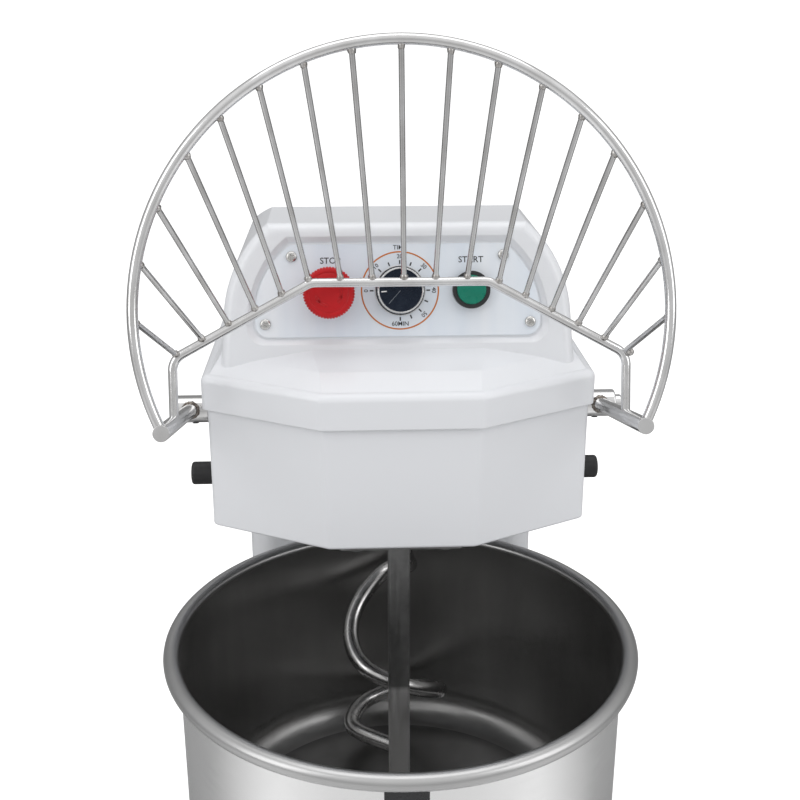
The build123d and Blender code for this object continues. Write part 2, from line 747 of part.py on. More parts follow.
def motor_rotor():
    core = rod_z(41, motor_low + 45, motor_top - 50, y=motor_y)
    return core + rod_z(motor_shaft_radius, motor_low - 26, belt_high + 4, y=motor_y)


def motor_fan():
    low = motor_low - 24
    fan = rod_z(20, low, low + 18, y=motor_y)
    for spot in PolarLocations(0, 8):
        fan += Pos(0, motor_y, low + 9) * spot * Pos(34, 0, 0) * Box(34, 2.4, 18)
    return fan - rod_z(motor_shaft_radius + running_gap, low - 1, low + 20, y=motor_y)


def fan_cover():
    low = motor_low - 34
    cover = rod_z(62, low, motor_low, y=motor_y) - rod_z(60, low + 2, motor_low + 1, y=motor_y)
    for spot in PolarLocations(0, 10):
        cover -= Pos(0, motor_y, low) * spot * Pos(34, 0, 0) * Box(36, 5, 10)
    return cover


# ---------------------------------------------------------------- guard


def guard_arms():
    """Round arms welded to the hub sleeves that clamp on the guard shaft."""
    sleeve = rod_x(11.5, head_half + 6, 185.3)
    sleeve = fillet(sleeve.faces().sort_by(Axis.X)[-1].edges(), 1.5)
    arm = rod_y(arm_radius, -arm_length - 5, 0, arm_x)
    arm = sleeve + arm - rod_x(guard_shaft_radius + running_gap, 100, 200)
    arm -= Pos(arm_x - 2.5, 0, -8) * Cylinder(2.6, 12)
    return Compound([(guard_place * piece).solid() for piece in mirrored(arm)])


def arm_bars():
    bar = rod_y(arm_radius, -arm_length - 6, 0, arm_x)
    return mirrored(bar)


def arch_bar():
    """The hoop: part of a circle that is centred on the bowl when the guard is down."""
    rise = pivot_y - bowl_y
    tail = 25.3
    hoop = CenterArc((0, rise), arch_radius, -tail, 180 + 2 * tail)
    path = Plane(origin=(0, -arm_length, 0), x_dir=(1, 0, 0), z_dir=(0, -1, 0)) * hoop
    return sweep(Plane(origin=path @ 0, z_dir=path % 0) * Circle(arch_rod), path=path)


def frame_bar():
    """Inner frame: up from both arms, slanting in to the bar across the middle."""
    low = (arm_x, -frame_reach, 0)
    bend = (arm_x, -frame_reach, 48)
    corner = (67, -frame_reach, 104)
    points = [low, bend, corner]
    points += [(-x, y, z) for x, y, z in reversed(points)]
    path = FilletPolyline(*points, radius=14)
    return sweep(Plane(origin=path @ 0, z_dir=path % 0) * Circle(frame_rod), path=path)


def frame_height(across):
    """Height of the inner frame's bar at a given distance from the middle."""
    if across <= 67:
        return 104
    return 104 - (across - 67) * 56 / (arm_x - 67)


def wire_ends():
    """Weld points on the hoop and on the inner frame for each wire, from left to right."""
    rise = pivot_y - bowl_y
    ends = []
    for count in range(-8, 9):
        step = abs(count)
        side = 1 if count >= 0 else -1
        angle = radians(10.5 * step if step <= 5 else 52.6 + 12.6 * (step - 5))
        across = side * (23.6 * step if step <= 3 else 70.8 + 19.8 * (step - 3)) + wire_drift
        across = max(-arm_x + 2, min(arm_x - 2, across))
        top = Vector(side * arch_radius * sin(angle), -arm_length, rise + arch_radius * cos(angle))
        ends.append((top, Vector(across, -frame_reach, frame_height(abs(across)))))
    return ends


def guard_wires():
    tools = [arch_bar(), frame_bar()]
    wires = []
    for top, low in wire_ends():
        run = top - low
        middle = Plane(origin=(low + top) * 0.5, z_dir=run)
        wire = (middle * Cylinder(wire_rod, run.length)) - tools
        wires.append(wire.solids().sort_by(SortBy.VOLUME)[-1])
    return Compound([(guard_place * wire).solid() for wire in wires])


def guard_shaft():
    """Through shaft with a switch cam near its right end."""
    shaft = rod_x(guard_shaft_radius, -186, 191.5, pivot_y, pivot_z)
    shaft = fillet(shaft.edges().sort_by(Axis.X)[-1], 1.5)
    cam = rod_x(13, 128, 136, pivot_y, pivot_z)
    cam &= block(120, 140, pivot_y - 20, pivot_y + 13.5, pivot_z - 9, pivot_z + 20)
    return shaft + cam


def guard_set_screws():
    screw = Pos(arm_x - 2.5, 0, -9.7) * Cylinder(2.5, 5)
    return Compound([(guard_place * piece).solid() for piece in mirrored(screw)])


def build_bowl():
    save("bowl_shell", bowl_shell())
    save("bowl_label", bowl_label())
    save("bowl_hub", bowl_hub())
    save("bowl_shaft", bowl_shaft())
    save("bowl_sprocket", sprocket(bowl_teeth, bowl_y, bowl_chain_z, bowl_shaft_radius, 32, 6))
    save("bowl_bearing_housing", bowl_bearing_housing())
    save("bowl_bearings", bowl_bearings())
    save("bowl_chain", chain(bowl_y, bowl_teeth, jack_y, jack_low_teeth, bowl_chain_z))


def build_frame():
    save("base_housing", base_housing())
    save("base_plate", base_plate())
    save("rubber_feet", rubber_feet())
    save("foot_bolts", foot_bolts())
    save("column_shell", column_shell())
    save("rear_cover", rear_cover())
    save("rear_cover_screws", rear_cover_screws())
    save("cable_gland", cable_gland())


def build_head():
    save("head_housing", head_housing())
    save("head_plate", head_plate())
    save("hook_bearing_housing", hook_bearing_housing())
    save("hook_bearings", hook_bearings())
    save("breaker_bar", breaker_bar())
    save("breaker_bolts", breaker_bolts())
    save("guard_bumpers", guard_bumpers())
    save("guard_bushes", guard_bushes())
    save("guard_switch", guard_switch())
    save("top_cover", top_cover())


def build_console():
    save("control_panel", control_panel())
    save("panel_screws", panel_screws())
    save("stop_collar", stop_collar())
    save("stop_stem", stop_stem())
    save("stop_cap", stop_cap())
    save("start_bezel", start_bezel())
    save("start_cap", start_cap())
    save("timer_body", timer_body())
    save("timer_knob", timer_knob())
    save("switch_blocks", switch_blocks())
    save("contactor", contactor())


def build_drive():
    save("spiral_hook", spiral_hook())
    save("hook_shaft", hook_shaft())
    save("hook_sprocket", sprocket(hook_teeth, hook_y, hook_chain_z, hook_shaft_radius, 20, 6))
    save("hook_pulley", vee_pulley(hook_pulley_radius, hook_y, hook_shaft_radius, True))
    save("hook_chain", chain(hook_y, hook_teeth, jack_y, jack_high_teeth, hook_chain_z))
    save("drive_belts", drive_belts())
    save("jackshaft", jackshaft())
    save("jackshaft_upper_sprocket", sprocket(jack_high_teeth, jack_y, hook_chain_z, jack_shaft_radius, 24, 6))
    save("jackshaft_lower_sprocket", sprocket(jack_low_teeth, jack_y, bowl_chain_z, jack_shaft_radius, 20, 6))
    save("jackshaft_bearing_units", jackshaft_bearing_units())
    save("motor_mount_plate", motor_mount_plate())
    save("motor_housing", motor_housing())
    save("motor_stator", motor_stator())
    save("motor_rotor", motor_rotor())
    save("motor_pulley", vee_pulley(motor_pulley_radius, motor_y, motor_shaft_radius, False))
    save("motor_fan", motor_fan())
    save("fan_cover", fan_cover())


def build_guard():
    save("guard_arms", guard_arms())
    save("guard_arch", guard_place * (arch_bar() - arm_bars()))
    save("guard_inner_frame", guard_place * (frame_bar() - arm_bars()))
    save("guard_wires", guard_wires())
    save("guard_shaft", guard_shaft())
    save("guard_set_screws", guard_set_screws())


os.makedirs("parts", exist_ok=True)
build_bowl()
build_frame()
build_head()
build_console()
build_drive()
build_guard()
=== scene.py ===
import json
from math import atan2, cos, pi, radians, sin

import bmesh
import bpy
from mathutils import Matrix, Vector


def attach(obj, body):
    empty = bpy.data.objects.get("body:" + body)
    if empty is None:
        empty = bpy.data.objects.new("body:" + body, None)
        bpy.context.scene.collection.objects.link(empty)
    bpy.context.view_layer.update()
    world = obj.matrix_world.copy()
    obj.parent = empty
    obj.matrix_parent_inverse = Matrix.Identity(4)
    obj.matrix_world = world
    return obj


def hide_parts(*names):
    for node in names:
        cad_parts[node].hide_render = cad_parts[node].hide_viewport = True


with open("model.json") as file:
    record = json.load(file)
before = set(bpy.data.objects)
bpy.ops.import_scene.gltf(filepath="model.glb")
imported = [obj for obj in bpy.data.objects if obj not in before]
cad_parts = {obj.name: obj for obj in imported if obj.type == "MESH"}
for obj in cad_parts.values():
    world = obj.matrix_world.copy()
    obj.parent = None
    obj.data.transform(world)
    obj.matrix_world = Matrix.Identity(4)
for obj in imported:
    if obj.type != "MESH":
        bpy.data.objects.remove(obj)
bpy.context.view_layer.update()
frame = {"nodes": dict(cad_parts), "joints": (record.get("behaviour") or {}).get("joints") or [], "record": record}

print("stage: packed frame loaded")

joints = {joint["name"]: joint for joint in frame["joints"]}
bowlAxis = Vector(joints["bowl_spin"]["pos_m"])  # height of this point is the rim's centre
dialCentre = Vector(joints["timer_turn"]["pos_m"])  # on the panel's back face
stopCentre = Vector(joints["stop_twist"]["pos_m"])
guardPivot = Vector((0, *joints["guard_hinge"]["pos_m"][1:]))
panelOut = -Vector(joints["timer_turn"]["axis"])
panelUp = Vector((0, panelOut.z, -panelOut.y))
panelLean = atan2(-panelOut.y, panelOut.z)


# Studio: camera, floor, soft lights and sky
studioValues = {
    "cameraPlace": (-0.03777, -0.97901, 0.91365),
    "cameraTilt": 70.32,
    "cameraTurn": -2.55,
    "cameraLens": 51.87,
    "floorSize": 400.0,
    "floorColor": (0.86, 0.86, 0.86, 1),
    "floorLift": 0.55,
    "floorPaintedLight": [  # painted light and shade on the floor, seen only in reflections and bounce: share of a half turn round the bowl from front to back, and brightness
        (0.0, 0.72), (0.17, 0.80), (0.33, 1.0), (0.42, 0.74), (0.55, 0.42), (1.0, 0.34),
    ],
    "floorBelow": 0.0005,
    "skyTop": 0.92,
    "skyLow": 0.55,
    "skyRise": 0.7,  # height on the sky at which it is brightest
    "skyFront": 1.04,
    "skyBack": 0.45,  # share of the sky's light that comes from behind the machine
    "backSpan": (-0.1, 0.7),  # from where, front to back, the sky dims
    "lights": [
        # name, place, aimed at, width, height, watts
        ("leftSoftbox", (-1.75, -1.25, 1.55), (0, -0.1, 0.55), 1.0, 1.6, 9),
        ("rightSoftbox", (1.75, -1.15, 1.55), (0, -0.1, 0.55), 1.0, 1.6, 8),
        ("overheadSoftbox", (0, 0.1, 2.6), (0, 0, 0.6), 2.2, 1.6, 12),
    ],
}


def makeCamera(values):
    bpy.ops.object.camera_add(
        location=values["cameraPlace"],
        rotation=(radians(values["cameraTilt"]), 0, radians(values["cameraTurn"])),
    )
    camera = bpy.context.object
    camera.name = "studioCamera"
    camera.data.lens = values["cameraLens"]
    camera.data.sensor_width = 36
    camera.data.clip_end = 1000
    bpy.context.scene.camera = camera


def makeFloor(values):
    bpy.ops.mesh.primitive_plane_add(size=values["floorSize"], location=(0, 0, -values["floorBelow"]))
    floor = bpy.context.object
    floor.name = "studioFloor"
    material = bpy.data.materials.new("paleFloor")
    material.use_nodes = True
    nodes = material.node_tree.nodes
    links = material.node_tree.links
    shader = nodes["Principled BSDF"]
    shader.inputs["Roughness"].default_value = 0.9
    shader.inputs["Specular IOR Level"].default_value = 0.1
    shader.inputs["Emission Color"].default_value = (1, 1, 1, 1)
    rays = nodes.new("ShaderNodeLightPath")
    place = nodes.new("ShaderNodeTexCoord")
    centre = nodes.new("ShaderNodeMapping")
    centre.inputs["Location"].default_value = (0, -bowlAxis.y, 0)
    split = nodes.new("ShaderNodeSeparateXYZ")
    side = nodes.new("ShaderNodeMath")
    side.operation = "ABSOLUTE"
    ahead = nodes.new("ShaderNodeMath")
    ahead.operation = "MULTIPLY"
    ahead.inputs[1].default_value = -1
    turn = nodes.new("ShaderNodeMath")
    turn.operation = "ARCTAN2"
    share = nodes.new("ShaderNodeMath")
    share.operation = "DIVIDE"
    share.inputs[1].default_value = pi
    # painted light and shade: for all rays but the camera's, the floor is lighter or darker by its turn round the
    # bowl
    shade = nodes.new("ShaderNodeValToRGB")
    stops = shade.color_ramp.elements
    stops.remove(stops[1])
    for count, (spot, value) in enumerate(values["floorPaintedLight"]):
        stop = stops[0] if count == 0 else stops.new(spot)
        stop.position = spot
        stop.color = (value, value, value, 1)
    pick = nodes.new("ShaderNodeMix")
    pick.data_type = "RGBA"
    pick.inputs["B"].default_value = values["floorColor"]
    links.new(place.outputs["Object"], centre.inputs["Vector"])
    links.new(centre.outputs["Vector"], split.inputs[0])
    links.new(split.outputs["X"], side.inputs[0])
    links.new(split.outputs["Y"], ahead.inputs[0])
    links.new(side.outputs[0], turn.inputs[0])
    links.new(ahead.outputs[0], turn.inputs[1])
    links.new(turn.outputs[0], share.inputs[0])
    links.new(share.outputs[0], shade.inputs["Fac"])
    links.new(shade.outputs["Color"], pick.inputs["A"])
    links.new(rays.outputs["Is Camera Ray"], pick.inputs["Factor"])
    links.new(pick.outputs["Result"], shader.inputs["Base Color"])
    lift = nodes.new("ShaderNodeMath")
    lift.operation = "MULTIPLY"
    lift.inputs[1].default_value = values["floorLift"]
    links.new(rays.outputs["Is Camera Ray"], lift.inputs[0])
    links.new(lift.outputs[0], shader.inputs["Emission Strength"])
    floor.data.materials.append(material)


def makeLights(values):
    for name, place, aim, width, height, watts in values["lights"]:
        turn = (Vector(aim) - Vector(place)).to_track_quat("-Z", "Y").to_euler()
        bpy.ops.object.light_add(type="AREA", location=place, rotation=turn)
        light = bpy.context.object
        light.name = name
        light.data.shape = "RECTANGLE"
        light.data.size = width
        light.data.size_y = height
        light.data.energy = watts


def makeSky(values):
    world = bpy.data.worlds.new("studioSky")
    bpy.context.scene.world = world
    world.use_nodes = True
    nodes = world.node_tree.nodes
    links = world.node_tree.links
    background = nodes["Background"]
    background.inputs["Color"].default_value = (1, 1, 1, 1)
    place = nodes.new("ShaderNodeTexCoord")
    split = nodes.new("ShaderNodeSeparateXYZ")
    height = nodes.new("ShaderNodeMapRange")
    height.inputs["From Min"].default_value = 0
    height.inputs["From Max"].default_value = values["skyRise"]
    height.inputs["To Min"].default_value = values["skyLow"]
    height.inputs["To Max"].default_value = values["skyTop"]
    rays = nodes.new("ShaderNodeLightPath")
    seen = nodes.new("ShaderNodeMath")
    seen.operation = "MAXIMUM"
    behind = nodes.new("ShaderNodeMapRange")
    behind.inputs["From Min"].default_value = values["backSpan"][0]
    behind.inputs["From Max"].default_value = values["backSpan"][1]
    behind.inputs["To Min"].default_value = values["skyFront"]
    behind.inputs["To Max"].default_value = values["skyBack"]
    dimmed = nodes.new("ShaderNodeMath")
    dimmed.operation = "MULTIPLY"
    links.new(split.outputs["Y"], behind.inputs["Value"])
    links.new(behind.outputs[0], dimmed.inputs[1])
    links.new(height.outputs[0], dimmed.inputs[0])
    links.new(place.outputs["Generated"], split.inputs[0])
    links.new(split.outputs["Z"], height.inputs["Value"])
    links.new(dimmed.outputs[0], seen.inputs[0])
    links.new(rays.outputs["Is Camera Ray"], seen.inputs[1])
    links.new(seen.outputs[0], background.inputs["Strength"])


makeCamera(studioValues)
makeFloor(studioValues)
makeLights(studioValues)
makeSky(studioValues)
bpy.context.scene.view_settings.view_transform = "Standard"
print("stage: studio ready")


# Shared effects, each a node group with named inputs
def newGroup(name, inputs, outputs):
    group = bpy.data.node_groups.new(name, "ShaderNodeTree")
    for label, kind, value in inputs:
        socket = group.interface.new_socket(name=label, in_out="INPUT", socket_type=kind)
        socket.default_value = value
    for label, kind in outputs:
        group.interface.new_socket(name=label, in_out="OUTPUT", socket_type=kind)
    return group, group.nodes.new("NodeGroupInput"), group.nodes.new("NodeGroupOutput")


def makeGrainGroup():
    group, given, made = newGroup(
        "fineGrain",
        [
            ("Stretch", "NodeSocketVector", (1, 1, 1)),
            ("Scale", "NodeSocketFloat", 400.0),
            ("Detail", "NodeSocketFloat", 3.0),
            ("Low", "NodeSocketFloat", 0.0),
            ("High", "NodeSocketFloat", 1.0),
        ],
        [("Value", "NodeSocketFloat"), ("Height", "NodeSocketFloat")],
    )
    nodes, links = group.nodes, group.links
    place = nodes.new("ShaderNodeTexCoord")
    stretch = nodes.new("ShaderNodeVectorMath")
    stretch.operation = "MULTIPLY"
    noise = nodes.new("ShaderNodeTexNoise")
    span = nodes.new("ShaderNodeMapRange")
    span.inputs["From Min"].default_value = 0.3
    span.inputs["From Max"].default_value = 0.7
    links.new(place.outputs["Object"], stretch.inputs[0])
    links.new(given.outputs["Stretch"], stretch.inputs[1])
    links.new(stretch.outputs[0], noise.inputs["Vector"])
    links.new(given.outputs["Scale"], noise.inputs["Scale"])
    links.new(given.outputs["Detail"], noise.inputs["Detail"])
    links.new(noise.outputs["Fac"], span.inputs["Value"])
    links.new(given.outputs["Low"], span.inputs["To Min"])
    links.new(given.outputs["High"], span.inputs["To Max"])
    links.new(span.outputs[0], made.inputs["Value"])
    links.new(noise.outputs["Fac"], made.inputs["Height"])
    return group


def makeEdgeGroup():
    group, given, made = newGroup(
        "softEdge",
        [
            ("Radius", "NodeSocketFloat", 0.0006),
            ("Breakup", "NodeSocketFloat", 300.0),
        ],
        [("Mask", "NodeSocketFloat"), ("Normal", "NodeSocketVector")],
    )
    nodes, links = group.nodes, group.links
    bevel = nodes.new("ShaderNodeBevel")
    bevel.samples = 4
    face = nodes.new("ShaderNodeNewGeometry")
    facing = nodes.new("ShaderNodeVectorMath")
    facing.operation = "DOT_PRODUCT"
    edge = nodes.new("ShaderNodeMapRange")
    edge.inputs["From Min"].default_value = 0.995
    edge.inputs["From Max"].default_value = 0.85
    place = nodes.new("ShaderNodeTexCoord")
    noise = nodes.new("ShaderNodeTexNoise")
    noise.inputs["Detail"].default_value = 4
    worn = nodes.new("ShaderNodeMapRange")
    worn.inputs["From Min"].default_value = 0.45
    worn.inputs["From Max"].default_value = 0.62
    mask = nodes.new("ShaderNodeMath")
    mask.operation = "MULTIPLY"
    links.new(given.outputs["Radius"], bevel.inputs["Radius"])
    links.new(bevel.outputs[0], facing.inputs[0])
    links.new(face.outputs["Normal"], facing.inputs[1])
    links.new(facing.outputs["Value"], edge.inputs["Value"])
    links.new(place.outputs["Object"], noise.inputs["Vector"])
    links.new(given.outputs["Breakup"], noise.inputs["Scale"])
    links.new(noise.outputs["Fac"], worn.inputs["Value"])
    links.new(edge.outputs[0], mask.inputs[0])
    links.new(worn.outputs[0], mask.inputs[1])
    links.new(mask.outputs[0], made.inputs["Mask"])
    links.new(bevel.outputs[0], made.inputs["Normal"])
    return group


grainGroup = makeGrainGroup()
edgeGroup = makeEdgeGroup()

# color and second mix by a broad grain of scale patch; rough runs from low to high with the
# finer grain smudge; bump is (scale, stretch, height in metres); edge is (radius, worn color);
# brushed steel shines in streaks round its axis
materialValues = {
    "white_paint": {
        "color": (0.772, 0.784, 0.812), "second": (0.764, 0.776, 0.805), "patch": 7, "patchDetail": 0,
        "rough": (0.28, 0.31), "smudge": (26, (1, 1, 1)), "bump": (330, (1, 1, 1), 0.000012),
        "edge": (0.0012, (0.80, 0.81, 0.83)), "coat": 0.15,
    },
    "base_paint": {
        "color": (0.69, 0.70, 0.722), "second": (0.675, 0.685, 0.708), "patch": 7,
        "rough": (0.30, 0.35), "smudge": (20, (1, 1, 1)), "bump": (330, (1, 1, 1), 0.000015),
        "edge": (0.0012, (0.79, 0.80, 0.82)), "coat": 0.1,
    },
    "bowl_steel": {
        "color": (0.60, 0.60, 0.60), "second": (0.53, 0.53, 0.53), "patch": 14, "metal": 1,
        "rough": (0.20, 0.32), "smudge": (60, (1, 1, 6)), "bump": (60, (1, 1, 40), 0.00001),
        "edge": (0.0006, (0.68, 0.68, 0.68)),
    },
    "polished_steel": {
        "color": (0.76, 0.76, 0.765), "second": (0.62, 0.615, 0.61), "patch": 45, "metal": 1,
        "rough": (0.07, 0.16), "smudge": (140, (1, 1, 1)), "bump": (900, (1, 1, 1), 0.00001),
        "edge": (0.0006, (0.78, 0.78, 0.78)),
    },
    "wireSteel": {
        "color": (0.62, 0.62, 0.625), "second": (0.46, 0.455, 0.45), "patch": 45, "metal": 1,
        "rough": (0.06, 0.14), "smudge": (140, (1, 1, 1)), "bump": (900, (1, 1, 1), 0.00001),
        "edge": (0.0006, (0.66, 0.66, 0.66)),
    },
    "hook_steel": {
        "color": (0.58, 0.575, 0.57), "second": (0.42, 0.416, 0.412), "patch": 60, "metal": 1,
        "rough": (0.16, 0.30), "smudge": (180, (1, 1, 1)), "bump": (700, (1, 1, 1), 0.00002),
        "edge": (0.0006, (0.5, 0.5, 0.5)),
    },
    "bar_steel": {
        "color": (0.33, 0.33, 0.33), "second": (0.24, 0.24, 0.24), "patch": 60, "metal": 1,
        "rough": (0.38, 0.52), "smudge": (300, (1, 1, 0.05)), "bump": (900, (1, 1, 0.05), 0.00003),
        "edge": (0.0008, (0.46, 0.46, 0.46)),
        # painted sheen on the bar's lower part: top and low height of the fade, and its brighter colour
        "paintedSheenBelow": (0.362, 0.356, (0.78, 0.775, 0.77)),
    },
    "panel_face": {
        "color": (0.68, 0.75, 0.84), "second": (0.83, 0.86, 0.90), "patch": 26,
        "patchStretch": (1, 0.03, 0.03),
        "rough": (0.16, 0.24), "smudge": (60, (1, 0.1, 0.1)), "bump": (1500, (1, 1, 1), 0.000006),
        "edge": (0.0006, (0.80, 0.81, 0.83)), "coat": 0.3,
    },
    "red_plastic": {
        "color": (0.52, 0.010, 0.014), "second": (0.47, 0.008, 0.012), "patch": 90, "specular": 0.25,
        "rough": (0.30, 0.42), "smudge": (200, (1, 1, 1)), "bump": (1400, (1, 1, 1), 0.00002),
        "edge": (0.0007, (0.55, 0.05, 0.05)),
    },
    "green_plastic": {
        "color": (0.010, 0.215, 0.140), "second": (0.009, 0.19, 0.124), "patch": 90, "specular": 0.25,
        "rough": (0.24, 0.36), "smudge": (200, (1, 1, 1)), "bump": (1400, (1, 1, 1), 0.00001),
        "edge": (0.0007, (0.04, 0.30, 0.2)),
    },
    "black_plastic": {
        "color": (0.014, 0.0145, 0.016), "second": (0.022, 0.0225, 0.024), "patch": 120,
        "rough": (0.28, 0.42), "smudge": (220, (1, 1, 1)), "bump": (1300, (1, 1, 1), 0.00003),
        "edge": (0.0006, (0.05, 0.05, 0.052)),
    },
    "knob_plastic": {
        "color": (0.016, 0.020, 0.032), "second": (0.026, 0.032, 0.048), "patch": 120,
        "rough": (0.22, 0.34), "smudge": (220, (1, 1, 1)), "bump": (1300, (1, 1, 1), 0.00002),
        "edge": (0.0006, (0.07, 0.08, 0.11)),
    },
    "black_rubber": {
        "color": (0.008, 0.008, 0.009), "second": (0.013, 0.013, 0.014), "patch": 80,
        "rough": (0.42, 0.6), "smudge": (240, (1, 1, 1)), "bump": (1100, (1, 1, 1), 0.00006),
        "edge": (0.001, (0.035, 0.035, 0.037)),
    },
    "label_black": {
        "color": (0.012, 0.012, 0.013), "second": (0.018, 0.018, 0.02), "patch": 60,
        "rough": (0.22, 0.34), "smudge": (120, (1, 1, 1)), "bump": (1200, (1, 1, 1), 0.00001),
        "edge": (0.0004, (0.10, 0.10, 0.10)),
    },
    "screw_steel": {
        "color": (0.66, 0.655, 0.64), "second": (0.50, 0.495, 0.48), "patch": 300, "metal": 1,
        "rough": (0.18, 0.32), "smudge": (500, (1, 1, 1)), "bump": (1800, (1, 1, 1), 0.00001),
        "edge": (0.0003, (0.8, 0.8, 0.78)),
    },
    "zinc_steel": {
        "color": (0.52, 0.525, 0.52), "second": (0.38, 0.39, 0.40), "patch": 110, "metal": 1,
        "rough": (0.34, 0.5), "smudge": (160, (1, 1, 1)), "bump": (600, (1, 1, 1), 0.00004),
        "edge": (0.0007, (0.7, 0.7, 0.7)),
    },
    "shaft_steel": {
        "color": (0.46, 0.455, 0.45), "second": (0.36, 0.355, 0.35), "patch": 70, "metal": 1,
        "rough": (0.24, 0.36), "smudge": (200, (1, 1, 12)), "bump": (250, (1, 1, 20), 0.00002),
        "edge": (0.0007, (0.62, 0.62, 0.6)),
    },
    "chain_steel": {
        "color": (0.20, 0.19, 0.18), "second": (0.11, 0.10, 0.095), "patch": 200, "metal": 1,
        "rough": (0.36, 0.55), "smudge": (300, (1, 1, 1)), "bump": (900, (1, 1, 1), 0.00005),
        "edge": (0.0005, (0.46, 0.45, 0.44)),
    },
    "cast_housing": {
        "color": (0.16, 0.17, 0.18), "second": (0.115, 0.12, 0.13), "patch": 40, "metal": 0.3,
        "rough": (0.55, 0.72), "smudge": (90, (1, 1, 1)), "bump": (420, (1, 1, 1), 0.0003),
        "edge": (0.0012, (0.32, 0.33, 0.34)),
    },
    "pulley_iron": {
        "color": (0.22, 0.215, 0.21), "second": (0.15, 0.146, 0.14), "patch": 60, "metal": 0.9,
        "rough": (0.42, 0.58), "smudge": (150, (1, 1, 8)), "bump": (500, (1, 1, 6), 0.0001),
        "edge": (0.001, (0.46, 0.45, 0.44)),
    },
    "belt_rubber": {
        "color": (0.020, 0.020, 0.021), "second": (0.034, 0.033, 0.032), "patch": 120,
        "rough": (0.62, 0.8), "smudge": (300, (1, 1, 1)), "bump": (1000, (1, 1, 1), 0.0001),
        "edge": (0.0008, (0.08, 0.08, 0.08)),
    },
    "motor_alloy": {
        "color": (0.42, 0.43, 0.44), "second": (0.33, 0.335, 0.34), "patch": 50, "metal": 0.9,
        "rough": (0.45, 0.6), "smudge": (120, (1, 1, 1)), "bump": (420, (1, 1, 1), 0.0002),
        "edge": (0.001, (0.6, 0.6, 0.6)),
    },
    "stator_core": {
        "color": (0.26, 0.25, 0.24), "second": (0.17, 0.16, 0.155), "patch": 60, "metal": 0.9,
        "rough": (0.42, 0.58), "smudge": (200, (1, 1, 30)), "bump": (200, (1, 1, 40), 0.0001),
        "edge": (0.0006, (0.4, 0.4, 0.4)),
    },
    # the bowl's inside, floor and rim are the outside's steel with darker colours: painted shade
    "bowlInsideShaded": {
        "color": (0.41, 0.408, 0.405), "second": (0.31, 0.308, 0.306), "patch": 5, "metal": 1,
        "patchStretch": (3, 3, 0.4), "rough": (0.30, 0.40), "smudge": (30, (1, 1, 0.2)),
        "bump": (80, (0.5, 0.5, 30), 0.000008), "edge": (0.00004, (0.35, 0.35, 0.35)), "brushed": 0.6,
    },
    "bowlFloorShaded": {
        "color": (0.24, 0.239, 0.238), "second": (0.17, 0.169, 0.168), "patch": 9, "metal": 1,
        "rough": (0.30, 0.42), "smudge": (40, (1, 1, 1)), "bump": (220, (1, 1, 1), 0.00001),
        "edge": (0.00004, (0.25, 0.25, 0.25)), "brushed": 0.5,
    },
    "bowlRimShaded": {
        "color": (0.50, 0.50, 0.50), "second": (0.46, 0.46, 0.46), "patch": 12, "metal": 1,
        "rough": (0.30, 0.36), "smudge": (50, (1, 1, 1)), "bump": (90, (1, 1, 14), 0.000004),
        "edge": (0.00004, (0.52, 0.52, 0.52)), "brushed": 0.3,
    },
    "bowlOutside": {
        "color": (0.82, 0.82, 0.82), "second": (0.78, 0.78, 0.78), "patch": 12, "metal": 1,
        "rough": (0.16, 0.24), "smudge": (40, (1, 1, 4)), "bump": (60, (0.5, 0.5, 40), 0.000006),
        "edge": (0.00004, (0.72, 0.72, 0.72)), "brushed": 0.75,
    },
    "weldSteel": {
        "color": (0.55, 0.54, 0.53), "second": (0.34, 0.32, 0.30), "patch": 260, "metal": 1,
        "rough": (0.22, 0.38), "smudge": (400, (1, 1, 1)), "bump": (900, (1, 1, 1), 0.00006),
        "edge": (0.0004, (0.68, 0.67, 0.66)),
    },
    "tintSteel": {
        "color": (0.30, 0.27, 0.24), "second": (0.13, 0.105, 0.09), "patch": 320, "metal": 1,
        "rough": (0.28, 0.45), "smudge": (400, (1, 1, 1)), "bump": (900, (1, 1, 1), 0.00006),
        "edge": (0.0004, (0.45, 0.43, 0.41)),
    },
    "knobFace": {
        "color": (0.026, 0.033, 0.048), "second": (0.020, 0.026, 0.040), "patch": 260, "metal": 1,
        "rough": (0.24, 0.32), "smudge": (420, (1, 1, 1)), "bump": (900, (1, 1, 1), 0.00001),
        "edge": (0.0004, (0.14, 0.15, 0.18)), "brushed": 0.85, "axis": "Y",
    },
    "knobChrome": {
        "color": (0.72, 0.72, 0.72), "second": (0.64, 0.64, 0.64), "patch": 260, "metal": 1,
        "rough": (0.10, 0.18), "smudge": (420, (1, 1, 1)), "bump": (900, (1, 1, 1), 0.000005),
        "edge": (0.0004, (0.8, 0.8, 0.8)),
    },
    "markWhite": {
        "color": (0.80, 0.80, 0.80), "second": (0.74, 0.74, 0.74), "patch": 400,
        "rough": (0.4, 0.5), "smudge": (500, (1, 1, 1)), "bump": (1400, (1, 1, 1), 0.00001),
        "edge": (0.0002, (0.85, 0.85, 0.85)),
    },
    "markGrey": {
        "color": (0.28, 0.30, 0.33), "second": (0.22, 0.24, 0.27), "patch": 400, "metal": 1,
        "rough": (0.3, 0.4), "smudge": (500, (1, 1, 1)), "bump": (1400, (1, 1, 1), 0.00001),
        "edge": (0.0002, (0.5, 0.5, 0.52)),
    },
    "markOrange": {
        "color": (0.60, 0.17, 0.010), "second": (0.54, 0.145, 0.008), "patch": 200,
        "rough": (0.35, 0.45), "smudge": (500, (1, 1, 1)), "bump": (1400, (1, 1, 1), 0.00001),
        "edge": (0.0002, (0.6, 0.18, 0.04)),
    },
    "markDark": {
        "color": (0.020, 0.021, 0.024), "second": (0.032, 0.033, 0.037), "patch": 300,
        "rough": (0.38, 0.5), "smudge": (500, (1, 1, 1)), "bump": (1400, (1, 1, 1), 0.00001),
